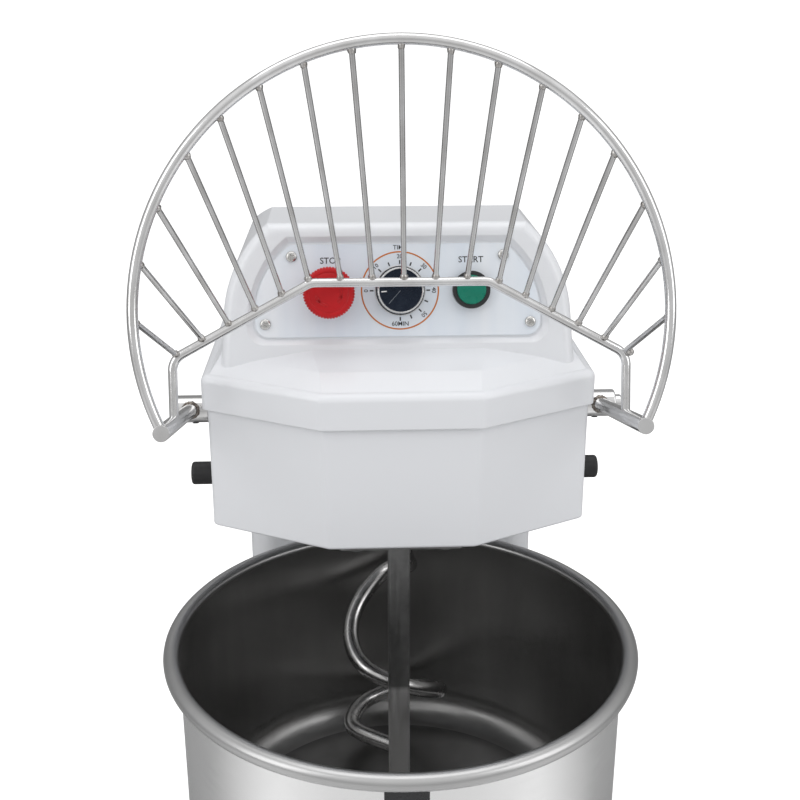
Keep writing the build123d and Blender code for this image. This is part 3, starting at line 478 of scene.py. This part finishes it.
        "edge": (0.0002, (0.05, 0.05, 0.055)),
    },
    "gland_nylon": {
        "color": (0.030, 0.031, 0.033), "second": (0.045, 0.046, 0.048), "patch": 90,
        "rough": (0.4, 0.55), "smudge": (240, (1, 1, 1)), "bump": (900, (1, 1, 1), 0.00005),
        "edge": (0.0007, (0.09, 0.09, 0.095)),
    },
}


def placeGroup(nodes, group, values):
    node = nodes.new("ShaderNodeGroup")
    node.node_tree = group
    for label, value in values.items():
        node.inputs[label].default_value = value
    return node


def makeMaterial(name, look):
    material = bpy.data.materials.new(name)
    material.use_nodes = True
    nodes = material.node_tree.nodes
    links = material.node_tree.links
    shader = nodes["Principled BSDF"]
    shader.inputs["Metallic"].default_value = look.get("metal", 0)
    shader.inputs["Specular IOR Level"].default_value = look.get("specular", 0.5)
    shader.inputs["Coat Weight"].default_value = look.get("coat", 0)
    shader.inputs["Coat Roughness"].default_value = 0.12
    shader.inputs["Anisotropic"].default_value = look.get("brushed", 0)

    if "brushed" in look:
        tangent = nodes.new("ShaderNodeTangent")
        tangent.direction_type = "RADIAL"
        tangent.axis = look.get("axis", "Z")
        links.new(tangent.outputs[0], shader.inputs["Tangent"])

    patch = placeGroup(nodes, grainGroup, {
        "Scale": look["patch"], "Detail": look.get("patchDetail", 4),
        "Stretch": look.get("patchStretch", (1, 1, 1)),
    })
    mix = nodes.new("ShaderNodeMix")
    mix.data_type = "RGBA"
    mix.inputs["A"].default_value = (*look["color"], 1)
    mix.inputs["B"].default_value = (*look["second"], 1)
    links.new(patch.outputs["Value"], mix.inputs["Factor"])

    mixed = mix.outputs["Result"]
    if "paintedSheenBelow" in look:  # painted sheen: brighter metal colour below a height, standing in for light on the bar's lower part
        top, low, sheenColor = look["paintedSheenBelow"]
        place = nodes.new("ShaderNodeTexCoord")
        split = nodes.new("ShaderNodeSeparateXYZ")
        fade = nodes.new("ShaderNodeMapRange")
        fade.interpolation_type = "SMOOTHSTEP"
        fade.inputs["From Min"].default_value = top
        fade.inputs["From Max"].default_value = low
        sheenMix = nodes.new("ShaderNodeMix")
        sheenMix.data_type = "RGBA"
        sheenMix.inputs["B"].default_value = (*sheenColor, 1)
        links.new(place.outputs["Object"], split.inputs[0])
        links.new(split.outputs["Z"], fade.inputs["Value"])
        links.new(fade.outputs[0], sheenMix.inputs["Factor"])
        links.new(mixed, sheenMix.inputs["A"])
        mixed = sheenMix.outputs["Result"]

    edge = placeGroup(nodes, edgeGroup, {"Radius": look["edge"][0]})
    worn = nodes.new("ShaderNodeMix")
    worn.data_type = "RGBA"
    worn.inputs["B"].default_value = (*look["edge"][1], 1)
    links.new(edge.outputs["Mask"], worn.inputs["Factor"])
    links.new(mixed, worn.inputs["A"])
    links.new(worn.outputs["Result"], shader.inputs["Base Color"])

    smudgeScale, smudgeStretch = look["smudge"]
    smudge = placeGroup(nodes, grainGroup, {
        "Scale": smudgeScale, "Detail": 5, "Stretch": smudgeStretch,
        "Low": look["rough"][0], "High": look["rough"][1],
    })
    links.new(smudge.outputs["Value"], shader.inputs["Roughness"])

    bumpScale, bumpStretch, bumpHeight = look["bump"]
    relief = placeGroup(nodes, grainGroup, {"Scale": bumpScale, "Detail": 2, "Stretch": bumpStretch})
    bump = nodes.new("ShaderNodeBump")
    bump.inputs["Strength"].default_value = 1
    bump.inputs["Distance"].default_value = bumpHeight
    links.new(relief.outputs["Height"], bump.inputs["Height"])
    links.new(edge.outputs["Normal"], bump.inputs["Normal"])
    links.new(bump.outputs["Normal"], shader.inputs["Normal"])
    return material


materials = {name: makeMaterial(name, look) for name, look in materialValues.items()}
ownFinish = {"guard_wires": "wireSteel"}  # parts whose finish differs from their slot's
for part in frame["record"]["subparts"]:
    node = frame["nodes"][part["node"]]
    node.data.materials.clear()
    node.data.materials.append(materials[ownFinish.get(part["node"], part["material_slot"])])
print("stage: finishes on the packed parts")


# Modelling helpers
def startFresh():
    if bpy.context.object and bpy.context.object.mode != "OBJECT":
        bpy.ops.object.mode_set(mode="OBJECT")
    bpy.ops.object.select_all(action="DESELECT")


def takePiece(piece):
    # only this piece is selected and active
    startFresh()
    piece.select_set(True)
    bpy.context.view_layer.objects.active = piece


def selectFaces(piece, wanted):
    # picks faces in edit mode by a test on the face
    bpy.ops.mesh.select_all(action="DESELECT")
    cage = bmesh.from_edit_mesh(piece.data)
    for face in cage.faces:
        if wanted(face):
            face.select_set(True)
    cage.select_flush_mode()
    bmesh.update_edit_mesh(piece.data)


def selectPoints(piece, wanted):
    # the same for points
    bpy.ops.mesh.select_all(action="DESELECT")
    cage = bmesh.from_edit_mesh(piece.data)
    for point in cage.verts:
        point.select_set(wanted(point))
    cage.select_flush_mode()
    bmesh.update_edit_mesh(piece.data)


def turnProfile(name, rings, sides, place=(0, 0, 0)):
    # a turned piece: a disc is drawn out ring by ring; rings are (radius, height)
    startFresh()
    radius, height = rings[0]
    centre = Vector(place)
    bpy.ops.mesh.primitive_circle_add(
        vertices=sides, radius=radius, fill_type="NGON", location=centre + Vector((0, 0, height))
    )
    piece = bpy.context.object
    piece.name = name
    bpy.ops.object.transform_apply(location=True, rotation=True, scale=True)
    bpy.ops.object.mode_set(mode="EDIT")
    bpy.ops.mesh.select_all(action="SELECT")
    for nextRadius, nextHeight in rings[1:]:
        bpy.ops.mesh.extrude_region_move(
            TRANSFORM_OT_translate={"value": (0, 0, nextHeight - height)}
        )
        grow = nextRadius / radius
        bpy.ops.transform.resize(
            value=(grow, grow, 1), center_override=centre + Vector((0, 0, nextHeight))
        )
        radius, height = nextRadius, nextHeight
    bpy.ops.mesh.select_all(action="SELECT")
    bpy.ops.mesh.remove_doubles(threshold=0.000001)
    bpy.ops.mesh.normals_make_consistent(inside=False)
    bpy.ops.object.mode_set(mode="OBJECT")
    return piece


def smooth(piece, angle):
    takePiece(piece)
    bpy.ops.object.shade_smooth_by_angle(angle=radians(angle))


def setOnPanel(piece, centre):
    # from flat at the origin to the leaning panel
    takePiece(piece)
    piece.rotation_euler = (panelLean, 0, 0)
    piece.location = centre
    bpy.ops.object.transform_apply(location=True, rotation=True, scale=True)


def joinPieces(name, pieces):
    startFresh()
    for piece in pieces:
        piece.select_set(True)
    bpy.context.view_layer.objects.active = pieces[0]
    bpy.ops.object.join()
    whole = bpy.context.object
    whole.name = name
    return whole


def finishPiece(piece, body, slotName, *finishes):
    # the piece's materials in order and its body; slotName, its slot in the record, is not used
    piece.data.name = piece.name
    piece.data.materials.clear()
    for finish in finishes:
        piece.data.materials.append(finish)
    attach(piece, body)


def paintFaces(piece, wanted, index):
    for face in piece.data.polygons:
        if wanted(face):
            face.material_index = index


# Mixing bowl: turned pan with a rolled rim
bowlValues = {
    "inside": 0.180, "wall": 0.0015, "depth": 0.198, "corner": 0.030, "floor": 0.002,
    "middle": 0.012, "floorRing": 0.08, "baseRing": 0.065, "sides": 192, "cornerSteps": 9,
    "rimRadius": 0.1875, "rimTube": 0.0065, "rimSteps": 22, "rimFrom": 183, "rimTo": -174,
    "rimHalf": 0.0066, "wallFrom": 0.1795, "rimReach": 0.1802,  # where each finish starts
}


def bowlRings(values):
    inside, corner = values["inside"], values["corner"]
    outside = inside + values["wall"]
    low = -values["depth"]
    rings = [(values["middle"], low), (values["floorRing"], low), (inside - corner, low)]
    for step in range(1, values["cornerSteps"] + 1):
        turn = radians(90 * step / values["cornerSteps"])
        rings.append((inside - corner + corner * sin(turn), low + corner - corner * cos(turn)))
    for share in (0.3, 0.6, 0.85):
        rings.append((inside, low + corner - share * (low + corner)))
    start, stop = radians(values["rimFrom"]), radians(values["rimTo"])
    for step in range(values["rimSteps"] + 1):
        turn = start + (stop - start) * step / values["rimSteps"]
        rings.append((
            values["rimRadius"] + values["rimTube"] * cos(turn),
            values["rimTube"] * sin(turn),
        ))
    for share in (0.15, 0.5, 0.8):
        rings.append((outside, share * (low + corner)))
    reach = outside - inside + corner
    drop = corner + values["floor"]
    for step in range(values["cornerSteps"] + 1):
        turn = radians(90 * step / values["cornerSteps"])
        rings.append((inside - corner + reach * cos(turn), low + corner - drop * sin(turn)))
    rings.append((values["baseRing"], low - values["floor"]))
    return rings


def makeBowl(values):
    bowl = turnProfile("mixingBowl", bowlRings(values), values["sides"], bowlAxis)
    smooth(bowl, 40)
    # inside, rim and floor take darker copies of the outside's steel: painted shade
    finishPiece(
        bowl, "bowl", "bowl_steel",
        materials["bowlInsideShaded"], materials["bowlRimShaded"], materials["bowlOutside"], materials["bowlFloorShaded"],
    )
    inside, rim, outside, floor = range(4)
    low = bowlAxis.z - values["depth"]
    underRim = bowlAxis.z - values["rimHalf"]

    def away(face):
        return (face.center - bowlAxis).to_2d().length

    def onRim(face):
        nearTop = abs(face.center.z - bowlAxis.z) < values["rimHalf"]
        return nearTop and away(face) > values["rimReach"]

    def looksIn(face):
        towardsAxis = (face.center - bowlAxis).to_2d().dot(face.normal.to_2d()) < 0
        return low - 0.001 < face.center.z < underRim and (face.normal.z > 0.02 or towardsAxis)

    paintFaces(bowl, lambda face: away(face) > values["wallFrom"], outside)
    paintFaces(bowl, onRim, rim)
    paintFaces(bowl, looksIn, inside)
    paintFaces(bowl, lambda face: face.center.z < low - 0.0005, outside)
    paintFaces(bowl, lambda face: abs(face.center.z - low) < 0.0003 and face.normal.z > 0.99, floor)
    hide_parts("bowl_shell")


makeBowl(bowlValues)
print("stage: mixing bowl")


# Stop button: mushroom head with a fine grip edge and turning arrows
stopValues = {
    "teeth": 52, "toothDepth": 0.965, "toothZone": (0.0186, 0.0205),
    "arrows": 3, "arrowFrom": 20, "arrowRadius": 0.0098, "arrowWide": 0.0016, "arrowHigh": 0.00045,
    "arrowLevel": 0.02705, "arrowSweep": 70, "arrowTip": 74, "arrowHead": 1.35,
    "rings": [
        (0.0125, 0.0140), (0.0155, 0.0140), (0.0178, 0.0152), (0.0191, 0.0170), (0.0197, 0.0185),
        (0.0200, 0.0200), (0.0200, 0.0228), (0.0197, 0.0243), (0.0190, 0.0254), (0.0178, 0.0261),
        (0.0164, 0.0265), (0.0158, 0.0264), (0.0152, 0.0261), (0.0146, 0.0264), (0.0138, 0.0268),
        (0.0100, 0.0271), (0.0050, 0.0273), (0.0020, 0.0273),
    ],
}


def makeArrow(values, turn):
    # curved arrow: one short edge spun into a strip, with a three-sided head at its end
    startFresh()
    inner = values["arrowRadius"] - values["arrowWide"] / 2
    bpy.ops.mesh.primitive_plane_add(size=values["arrowWide"], location=(values["arrowRadius"], 0, 0))
    strip = bpy.context.object
    bpy.ops.object.transform_apply(location=True, rotation=True, scale=True)
    bpy.ops.object.mode_set(mode="EDIT")
    bpy.ops.mesh.select_all(action="SELECT")
    bpy.ops.mesh.delete(type="ONLY_FACE")
    selectPoints(strip, lambda point: point.co.y < 0)
    bpy.ops.mesh.delete(type="VERT")
    bpy.ops.mesh.select_all(action="SELECT")
    bpy.ops.mesh.spin(
        steps=14, angle=radians(values["arrowSweep"]), center=(0, 0, 0), axis=(0, 0, 1)
    )
    bpy.ops.object.mode_set(mode="OBJECT")
    endTurn = atan2(values["arrowWide"] / 2, inner) + radians(values["arrowTip"])
    bpy.ops.mesh.primitive_circle_add(
        vertices=3, radius=values["arrowWide"] * values["arrowHead"], fill_type="NGON",
        location=(values["arrowRadius"] * cos(endTurn), values["arrowRadius"] * sin(endTurn), 0),
        rotation=(0, 0, endTurn),
    )
    head = bpy.context.object
    bpy.ops.object.transform_apply(location=True, rotation=True, scale=True)
    arrow = joinPieces("arrow", [strip, head])
    arrow.rotation_euler = (0, 0, turn)
    bpy.ops.object.transform_apply(location=True, rotation=True, scale=True)
    return arrow


def cutGrooves(piece, count, depth, zone):
    # every fourth point round the edge is drawn in
    takePiece(piece)
    bpy.ops.object.mode_set(mode="EDIT")
    pitch = 2 * pi / (count * 4)

    def inGroove(point):
        if not zone[0] < point.co.to_2d().length < zone[1]:
            return False
        return round(atan2(point.co.y, point.co.x) / pitch) % 4 == 0

    selectPoints(piece, inGroove)
    bpy.ops.transform.resize(value=(depth, depth, 1), center_override=(0, 0, 0))
    bpy.ops.object.mode_set(mode="OBJECT")


def makeStopButton(values):
    cap = turnProfile("stopHead", values["rings"], values["teeth"] * 4)
    cutGrooves(cap, values["teeth"], values["toothDepth"], values["toothZone"])
    arrows = []
    for count in range(values["arrows"]):
        arrow = makeArrow(values, radians(360 / values["arrows"] * count + values["arrowFrom"]))
        thick = arrow.modifiers.new("thick", "SOLIDIFY")
        thick.thickness = values["arrowHigh"] * 2
        thick.offset = 0
        bpy.ops.object.modifier_apply(modifier="thick")
        arrow.location.z = values["arrowLevel"]
        bpy.ops.object.transform_apply(location=True, rotation=True, scale=True)
        arrows.append(arrow)
    head = joinPieces("stopHead", [cap, *arrows])
    setOnPanel(head, stopCentre)
    smooth(head, 28)
    finishPiece(head, "stop_button", "red_plastic", materials["red_plastic"])
    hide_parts("stop_cap")


makeStopButton(stopValues)
print("stage: stop button")


# Timer knob: broad skirt with chrome rings, fluted grip and a pointer line
knobValues = {
    "flutes": 48, "fluteDepth": 0.985, "fluteZone": (0.0179, 0.0187),
    "chromeFrom": 0.01905, "topFrom": 0.0149, "faceFrom": 0.01, "faceWithin": 0.0167,
    # length, width, height, distance from the axis, level, turn
    "pointer": (0.0042, 0.0009, 0.0004, 0.0130, 0.0154, 184),
    "crease": (0.0150, 0.0004, 0.0003, 0.0078, 0.01515, 228),
    "skirt": [
        (0.0170, 0.0030), (0.0196, 0.0030), (0.0198, 0.0033), (0.0198, 0.0048), (0.0196, 0.0052),
        (0.0191, 0.0053), (0.0190, 0.0050), (0.0186, 0.0050), (0.0170, 0.0050),
    ],
    "grip": [
        (0.0160, 0.0045), (0.0185, 0.0045), (0.0183, 0.0100), (0.0180, 0.0147), (0.0178, 0.0153),
        (0.0172, 0.0156), (0.0169, 0.0156), (0.0167, 0.0154), (0.0060, 0.0150), (0.0008, 0.0148),
    ],
}


def makeBar(name, length, width, height, place, turn):
    # slim bar with softened edges, lying flat and pointing outwards
    startFresh()
    bpy.ops.mesh.primitive_cube_add(size=1, location=(0, 0, 0), scale=(length, width, height))
    bar = bpy.context.object
    bar.name = name
    bpy.ops.object.transform_apply(location=True, rotation=True, scale=True)
    soft = bar.modifiers.new("soft", "BEVEL")
    soft.width = min(width, height) * 0.3
    soft.segments = 2
    bpy.ops.object.modifier_apply(modifier="soft")
    bar.rotation_euler = (0, 0, turn)
    bar.location = place
    bpy.ops.object.transform_apply(location=True, rotation=True, scale=True)
    return bar


def fromDial(face):
    # how far a face is from the dial's axis, and how far above the panel
    out = face.center - dialCentre
    height = out.dot(panelOut)
    return (out - panelOut * height).length, height


def makeLine(name, look, finish):
    length, width, height, reach, level, degrees = look
    turn = radians(degrees)
    line = makeBar(name, length, width, height, (reach * cos(turn), reach * sin(turn), level), turn)
    setOnPanel(line, dialCentre)
    finishPiece(line, "timer", "knob_plastic", materials[finish])


def makeKnob(values):
    skirt = turnProfile("knobSkirt", values["skirt"], 128)
    setOnPanel(skirt, dialCentre)
    smooth(skirt, 30)
    plastic, chrome = materials["knob_plastic"], materials["knobChrome"]
    finishPiece(skirt, "timer", "knob_plastic", plastic, chrome)
    paintFaces(skirt, lambda face: fromDial(face)[0] > values["chromeFrom"], 1)
    grip = turnProfile("knobGrip", values["grip"], values["flutes"] * 4)
    cutGrooves(grip, values["flutes"], values["fluteDepth"], values["fluteZone"])
    setOnPanel(grip, dialCentre)
    smooth(grip, 30)
    finishPiece(grip, "timer", "knob_plastic", plastic, materials["knobFace"], chrome)

    def onFace(face):
        away, height = fromDial(face)
        return height > values["faceFrom"] and away < values["faceWithin"]

    paintFaces(grip, lambda face: fromDial(face)[1] > values["topFrom"], 2)
    paintFaces(grip, onFace, 1)
    makeLine("knobPointer", values["pointer"], "markWhite")
    makeLine("knobCrease", values["crease"], "markGrey")
    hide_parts("timer_knob")


makeKnob(knobValues)
print("stage: timer knob")


# Panel marks: orange ring, minute ticks, numbers and plain words
markValues = {
    "sheet": 0.00012, "face": 0.0015, "ringOuter": 0.0308, "ringInner": 0.0297,
    "tickInner": 0.0208, "tickOuter": 0.0238, "tickWide": 0.0011, "ticks": 13, "minutesPerTick": 5,
    "numberReach": 0.0266, "numberSize": 0.0034, "numbers": (0, 10, 20, 30, 40, 50),
    "minuteTurn": 4.5, "zeroTurn": 180, "letterScale": 1.35, "letterWeight": 0.012,
    "words": [
        # text, across, up, size, measured from the dial's centre
        ("TIME", 0.0, 0.0336, 0.0036),
        ("STOP", -0.0545, 0.0236, 0.0050),
        ("START", 0.0560, 0.0236, 0.0050),
        ("60MIN", 0.0, -0.0262, 0.0036),
    ],
}


def makeText(text, size, across, up, height, turn=0.0):
    startFresh()
    bpy.ops.object.text_add(location=(0, 0, 0))
    words = bpy.context.object
    words.data.body = text
    words.data.size = size * markValues["letterScale"]
    words.data.align_x = "CENTER"
    words.data.align_y = "CENTER"
    words.data.extrude = markValues["sheet"] / 2
    words.data.resolution_u = 3
    words.data.offset = size * markValues["letterWeight"]
    bpy.ops.object.convert(target="MESH")
    words = bpy.context.object
    words.rotation_euler = (0, 0, turn)
    words.location = (across, up, height)
    bpy.ops.object.transform_apply(location=True, rotation=True, scale=True)
    return words


def makeMarks(values):
    low, outer, inner = values["face"], values["ringOuter"], values["ringInner"]
    height = low + values["sheet"] / 2
    top = low + values["sheet"]
    ring = turnProfile(
        "orangeRing", [(outer, low), (outer, top), (inner, top), (inner, low + 0.00001)], 128
    )
    takePiece(ring)
    bpy.ops.object.mode_set(mode="EDIT")
    selectFaces(ring, lambda face: len(face.verts) > 8)  # the two discs that close it
    bpy.ops.mesh.delete(type="FACE")
    bpy.ops.mesh.select_all(action="DESELECT")
    cage = bmesh.from_edit_mesh(ring.data)
    for edge in cage.edges:
        if edge.is_boundary:
            edge.select_set(True)
    bmesh.update_edit_mesh(ring.data)
    bpy.ops.mesh.bridge_edge_loops()
    bpy.ops.mesh.select_all(action="SELECT")
    bpy.ops.mesh.normals_make_consistent(inside=False)
    bpy.ops.object.mode_set(mode="OBJECT")
    setOnPanel(ring, dialCentre)
    finishPiece(ring, "frame", "panel_face", materials["markOrange"])
    marks = []
    middle = (values["tickInner"] + values["tickOuter"]) / 2
    for count in range(values["ticks"]):
        minutes = values["minutesPerTick"] * count
        turn = radians(values["zeroTurn"] - values["minuteTurn"] * minutes)
        marks.append(makeBar(
            "tick", values["tickOuter"] - values["tickInner"], values["tickWide"], values["sheet"],
            (middle * cos(turn), middle * sin(turn), height), turn,
        ))
    for minutes in values["numbers"]:
        turn = radians(values["zeroTurn"] - values["minuteTurn"] * minutes)
        marks.append(makeText(
            str(minutes), values["numberSize"], values["numberReach"] * cos(turn),
            values["numberReach"] * sin(turn), height, turn - radians(90),
        ))
    for text, across, up, size in values["words"]:
        marks.append(makeText(text, size, across, up, height))
    dial = joinPieces("panelMarks", marks)
    setOnPanel(dial, dialCentre)
    finishPiece(dial, "frame", "panel_face", materials["markDark"])


makeMarks(markValues)
print("stage: panel marks")


# Panel screws: pan heads with a cross recess
screwValues = {
    "rings": [
        (0.0017, -0.0090), (0.0019, -0.0086), (0.0019, 0.0), (0.0041, 0.0), (0.0044, 0.0006),
        (0.0042, 0.0012), (0.0036, 0.0018), (0.0026, 0.0022), (0.0012, 0.0024), (0.0003, 0.0024),
    ],
    "crossLong": 0.0044, "crossWide": 0.00085, "crossDeep": 0.0024, "crossLevel": 0.0024,
    "aside": 0.0015, "above": 0.0005, "proud": 0.00152,
    "places": [  # across, up and turn of the cross, from the dial's centre
        (-0.0832, 0.0267, 20), (0.0832, 0.0267, 60), (-0.1045, -0.026, 35), (0.1045, -0.026, 52),
    ],
}


def makeScrews(values):
    origin = dialCentre - Vector((values["aside"], 0, 0)) + panelUp * values["above"]
    heads = []
    for across, up, turn in values["places"]:
        head = turnProfile("screwHead", values["rings"], 48)
        for quarter in (0, 90):
            cutter = makeBar(
                "cutter", values["crossLong"], values["crossWide"], values["crossDeep"],
                (0, 0, values["crossLevel"]), radians(turn + quarter),
            )
            takePiece(head)
            cross = head.modifiers.new("cross", "BOOLEAN")
            cross.object = cutter
            cross.operation = "DIFFERENCE"
            bpy.ops.object.modifier_apply(modifier="cross")
            bpy.data.objects.remove(cutter)
        setOnPanel(
            head, origin + Vector((across, 0, 0)) + panelUp * up + panelOut * values["proud"]
        )
        heads.append(head)
    screws = joinPieces("panelScrews", heads)
    smooth(screws, 30)
    finishPiece(screws, "frame", "screw_steel", materials["screw_steel"])
    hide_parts("panel_screws")


makeScrews(screwValues)
print("stage: panel screws")


# Weld nuggets where each wire meets the hoop and the inner frame, and round the arms' roots
weldValues = {
    "hoopRadius": 0.1895, "hoopRod": 0.0040, "frameRod": 0.0035, "armLength": 0.1579,
    "frameReach": 0.1010, "armAcross": 0.1715, "barHalf": 0.067, "barHigh": 0.104,
    "bendHigh": 0.048, "lift": 13.9, "wiresEachSide": 8,
    "hoopSteps": (5, 10.5, 52.6, 12.6),  # wires in the first run, its step, then start and step
    "barSteps": (3, 0.0236, 0.0708, 0.0198),
    "drift": 0.0028, "nuggetSize": 0.0029, "nuggetGap": 0.0006, "jitter": 0.0005,
    "rootReach": 0.0112, "rootRadius": 0.0058, "rootSize": 0.0019, "rootCount": 14,
}


def stepAlong(runs, step):
    first, pitch, start, nextPitch = runs
    return pitch * step if step <= first else start + nextPitch * (step - first)


def wirePlaces(values):
    # both ends of every wire, left to right, with the guard level
    rise = guardPivot.y - bowlAxis.y
    places = []
    for count in range(-values["wiresEachSide"], values["wiresEachSide"] + 1):
        step = abs(count)
        side = 1 if count >= 0 else -1
        angle = radians(stepAlong(values["hoopSteps"], step))
        across = side * stepAlong(values["barSteps"], step) + values["drift"]
        up = values["barHigh"]
        if abs(across) > values["barHalf"]:
            run = values["armAcross"] - values["barHalf"]
            fall = (values["barHigh"] - values["bendHigh"]) / run
            up -= (abs(across) - values["barHalf"]) * fall
        top = Vector((
            side * values["hoopRadius"] * sin(angle), -values["armLength"],
            rise + values["hoopRadius"] * cos(angle),
        ))
        places.append((top, Vector((across, -values["frameReach"], up))))
    return places


def makeNugget(place, along, size, seed):
    startFresh()
    bpy.ops.mesh.primitive_ico_sphere_add(subdivisions=2, radius=size, location=(0, 0, 0))
    nugget = bpy.context.object
    bpy.ops.object.mode_set(mode="EDIT")
    bpy.ops.mesh.select_all(action="SELECT")
    bpy.ops.transform.vertex_random(offset=weldValues["jitter"], uniform=0.4, seed=seed)
    bpy.ops.transform.resize(value=(1, 1, 1.25))
    bpy.ops.object.mode_set(mode="OBJECT")
    nugget.rotation_euler = along.to_track_quat("Z", "Y").to_euler()
    nugget.location = place
    bpy.ops.object.transform_apply(location=True, rotation=True, scale=True)
    return nugget


def makeWelds(values):
    lift = Matrix.Rotation(radians(-values["lift"]), 4, "X")
    nuggets = []
    for count, (top, low) in enumerate(wirePlaces(values)):
        run = (top - low).normalized()
        ends = ((top, -run, values["hoopRod"], 4), (low, run, values["frameRod"], 3))
        for place, inward, rod, seed in ends:
            spot = guardPivot + lift @ (place + inward * (rod + values["nuggetGap"]))
            nuggets.append(makeNugget(spot, lift @ run, values["nuggetSize"], seed + 2 * count))
    welds = joinPieces("guardWelds", nuggets)
    smooth(welds, 80)
    finishPiece(welds, "guard", "polished_steel", materials["weldSteel"])
    makeRoots(values, lift)


def makeRoots(values, lift):
    beads = []
    for side in (-1, 1):
        for count in range(values["rootCount"]):
            turn = 2 * pi * count / values["rootCount"]
            spot = Vector((
                side * values["armAcross"] + values["rootRadius"] * cos(turn), -values["rootReach"],
                values["rootRadius"] * sin(turn),
            ))
            beads.append(makeNugget(
                guardPivot + lift @ spot, lift @ Vector((-sin(turn), 0, cos(turn))),
                values["rootSize"], 60 + count + 20 * side,
            ))
    roots = joinPieces("armRootWelds", beads)
    smooth(roots, 80)
    finishPiece(roots, "guard", "polished_steel", materials["tintSteel"])


makeWelds(weldValues)
print("stage: guard welds")

print("stage: done")
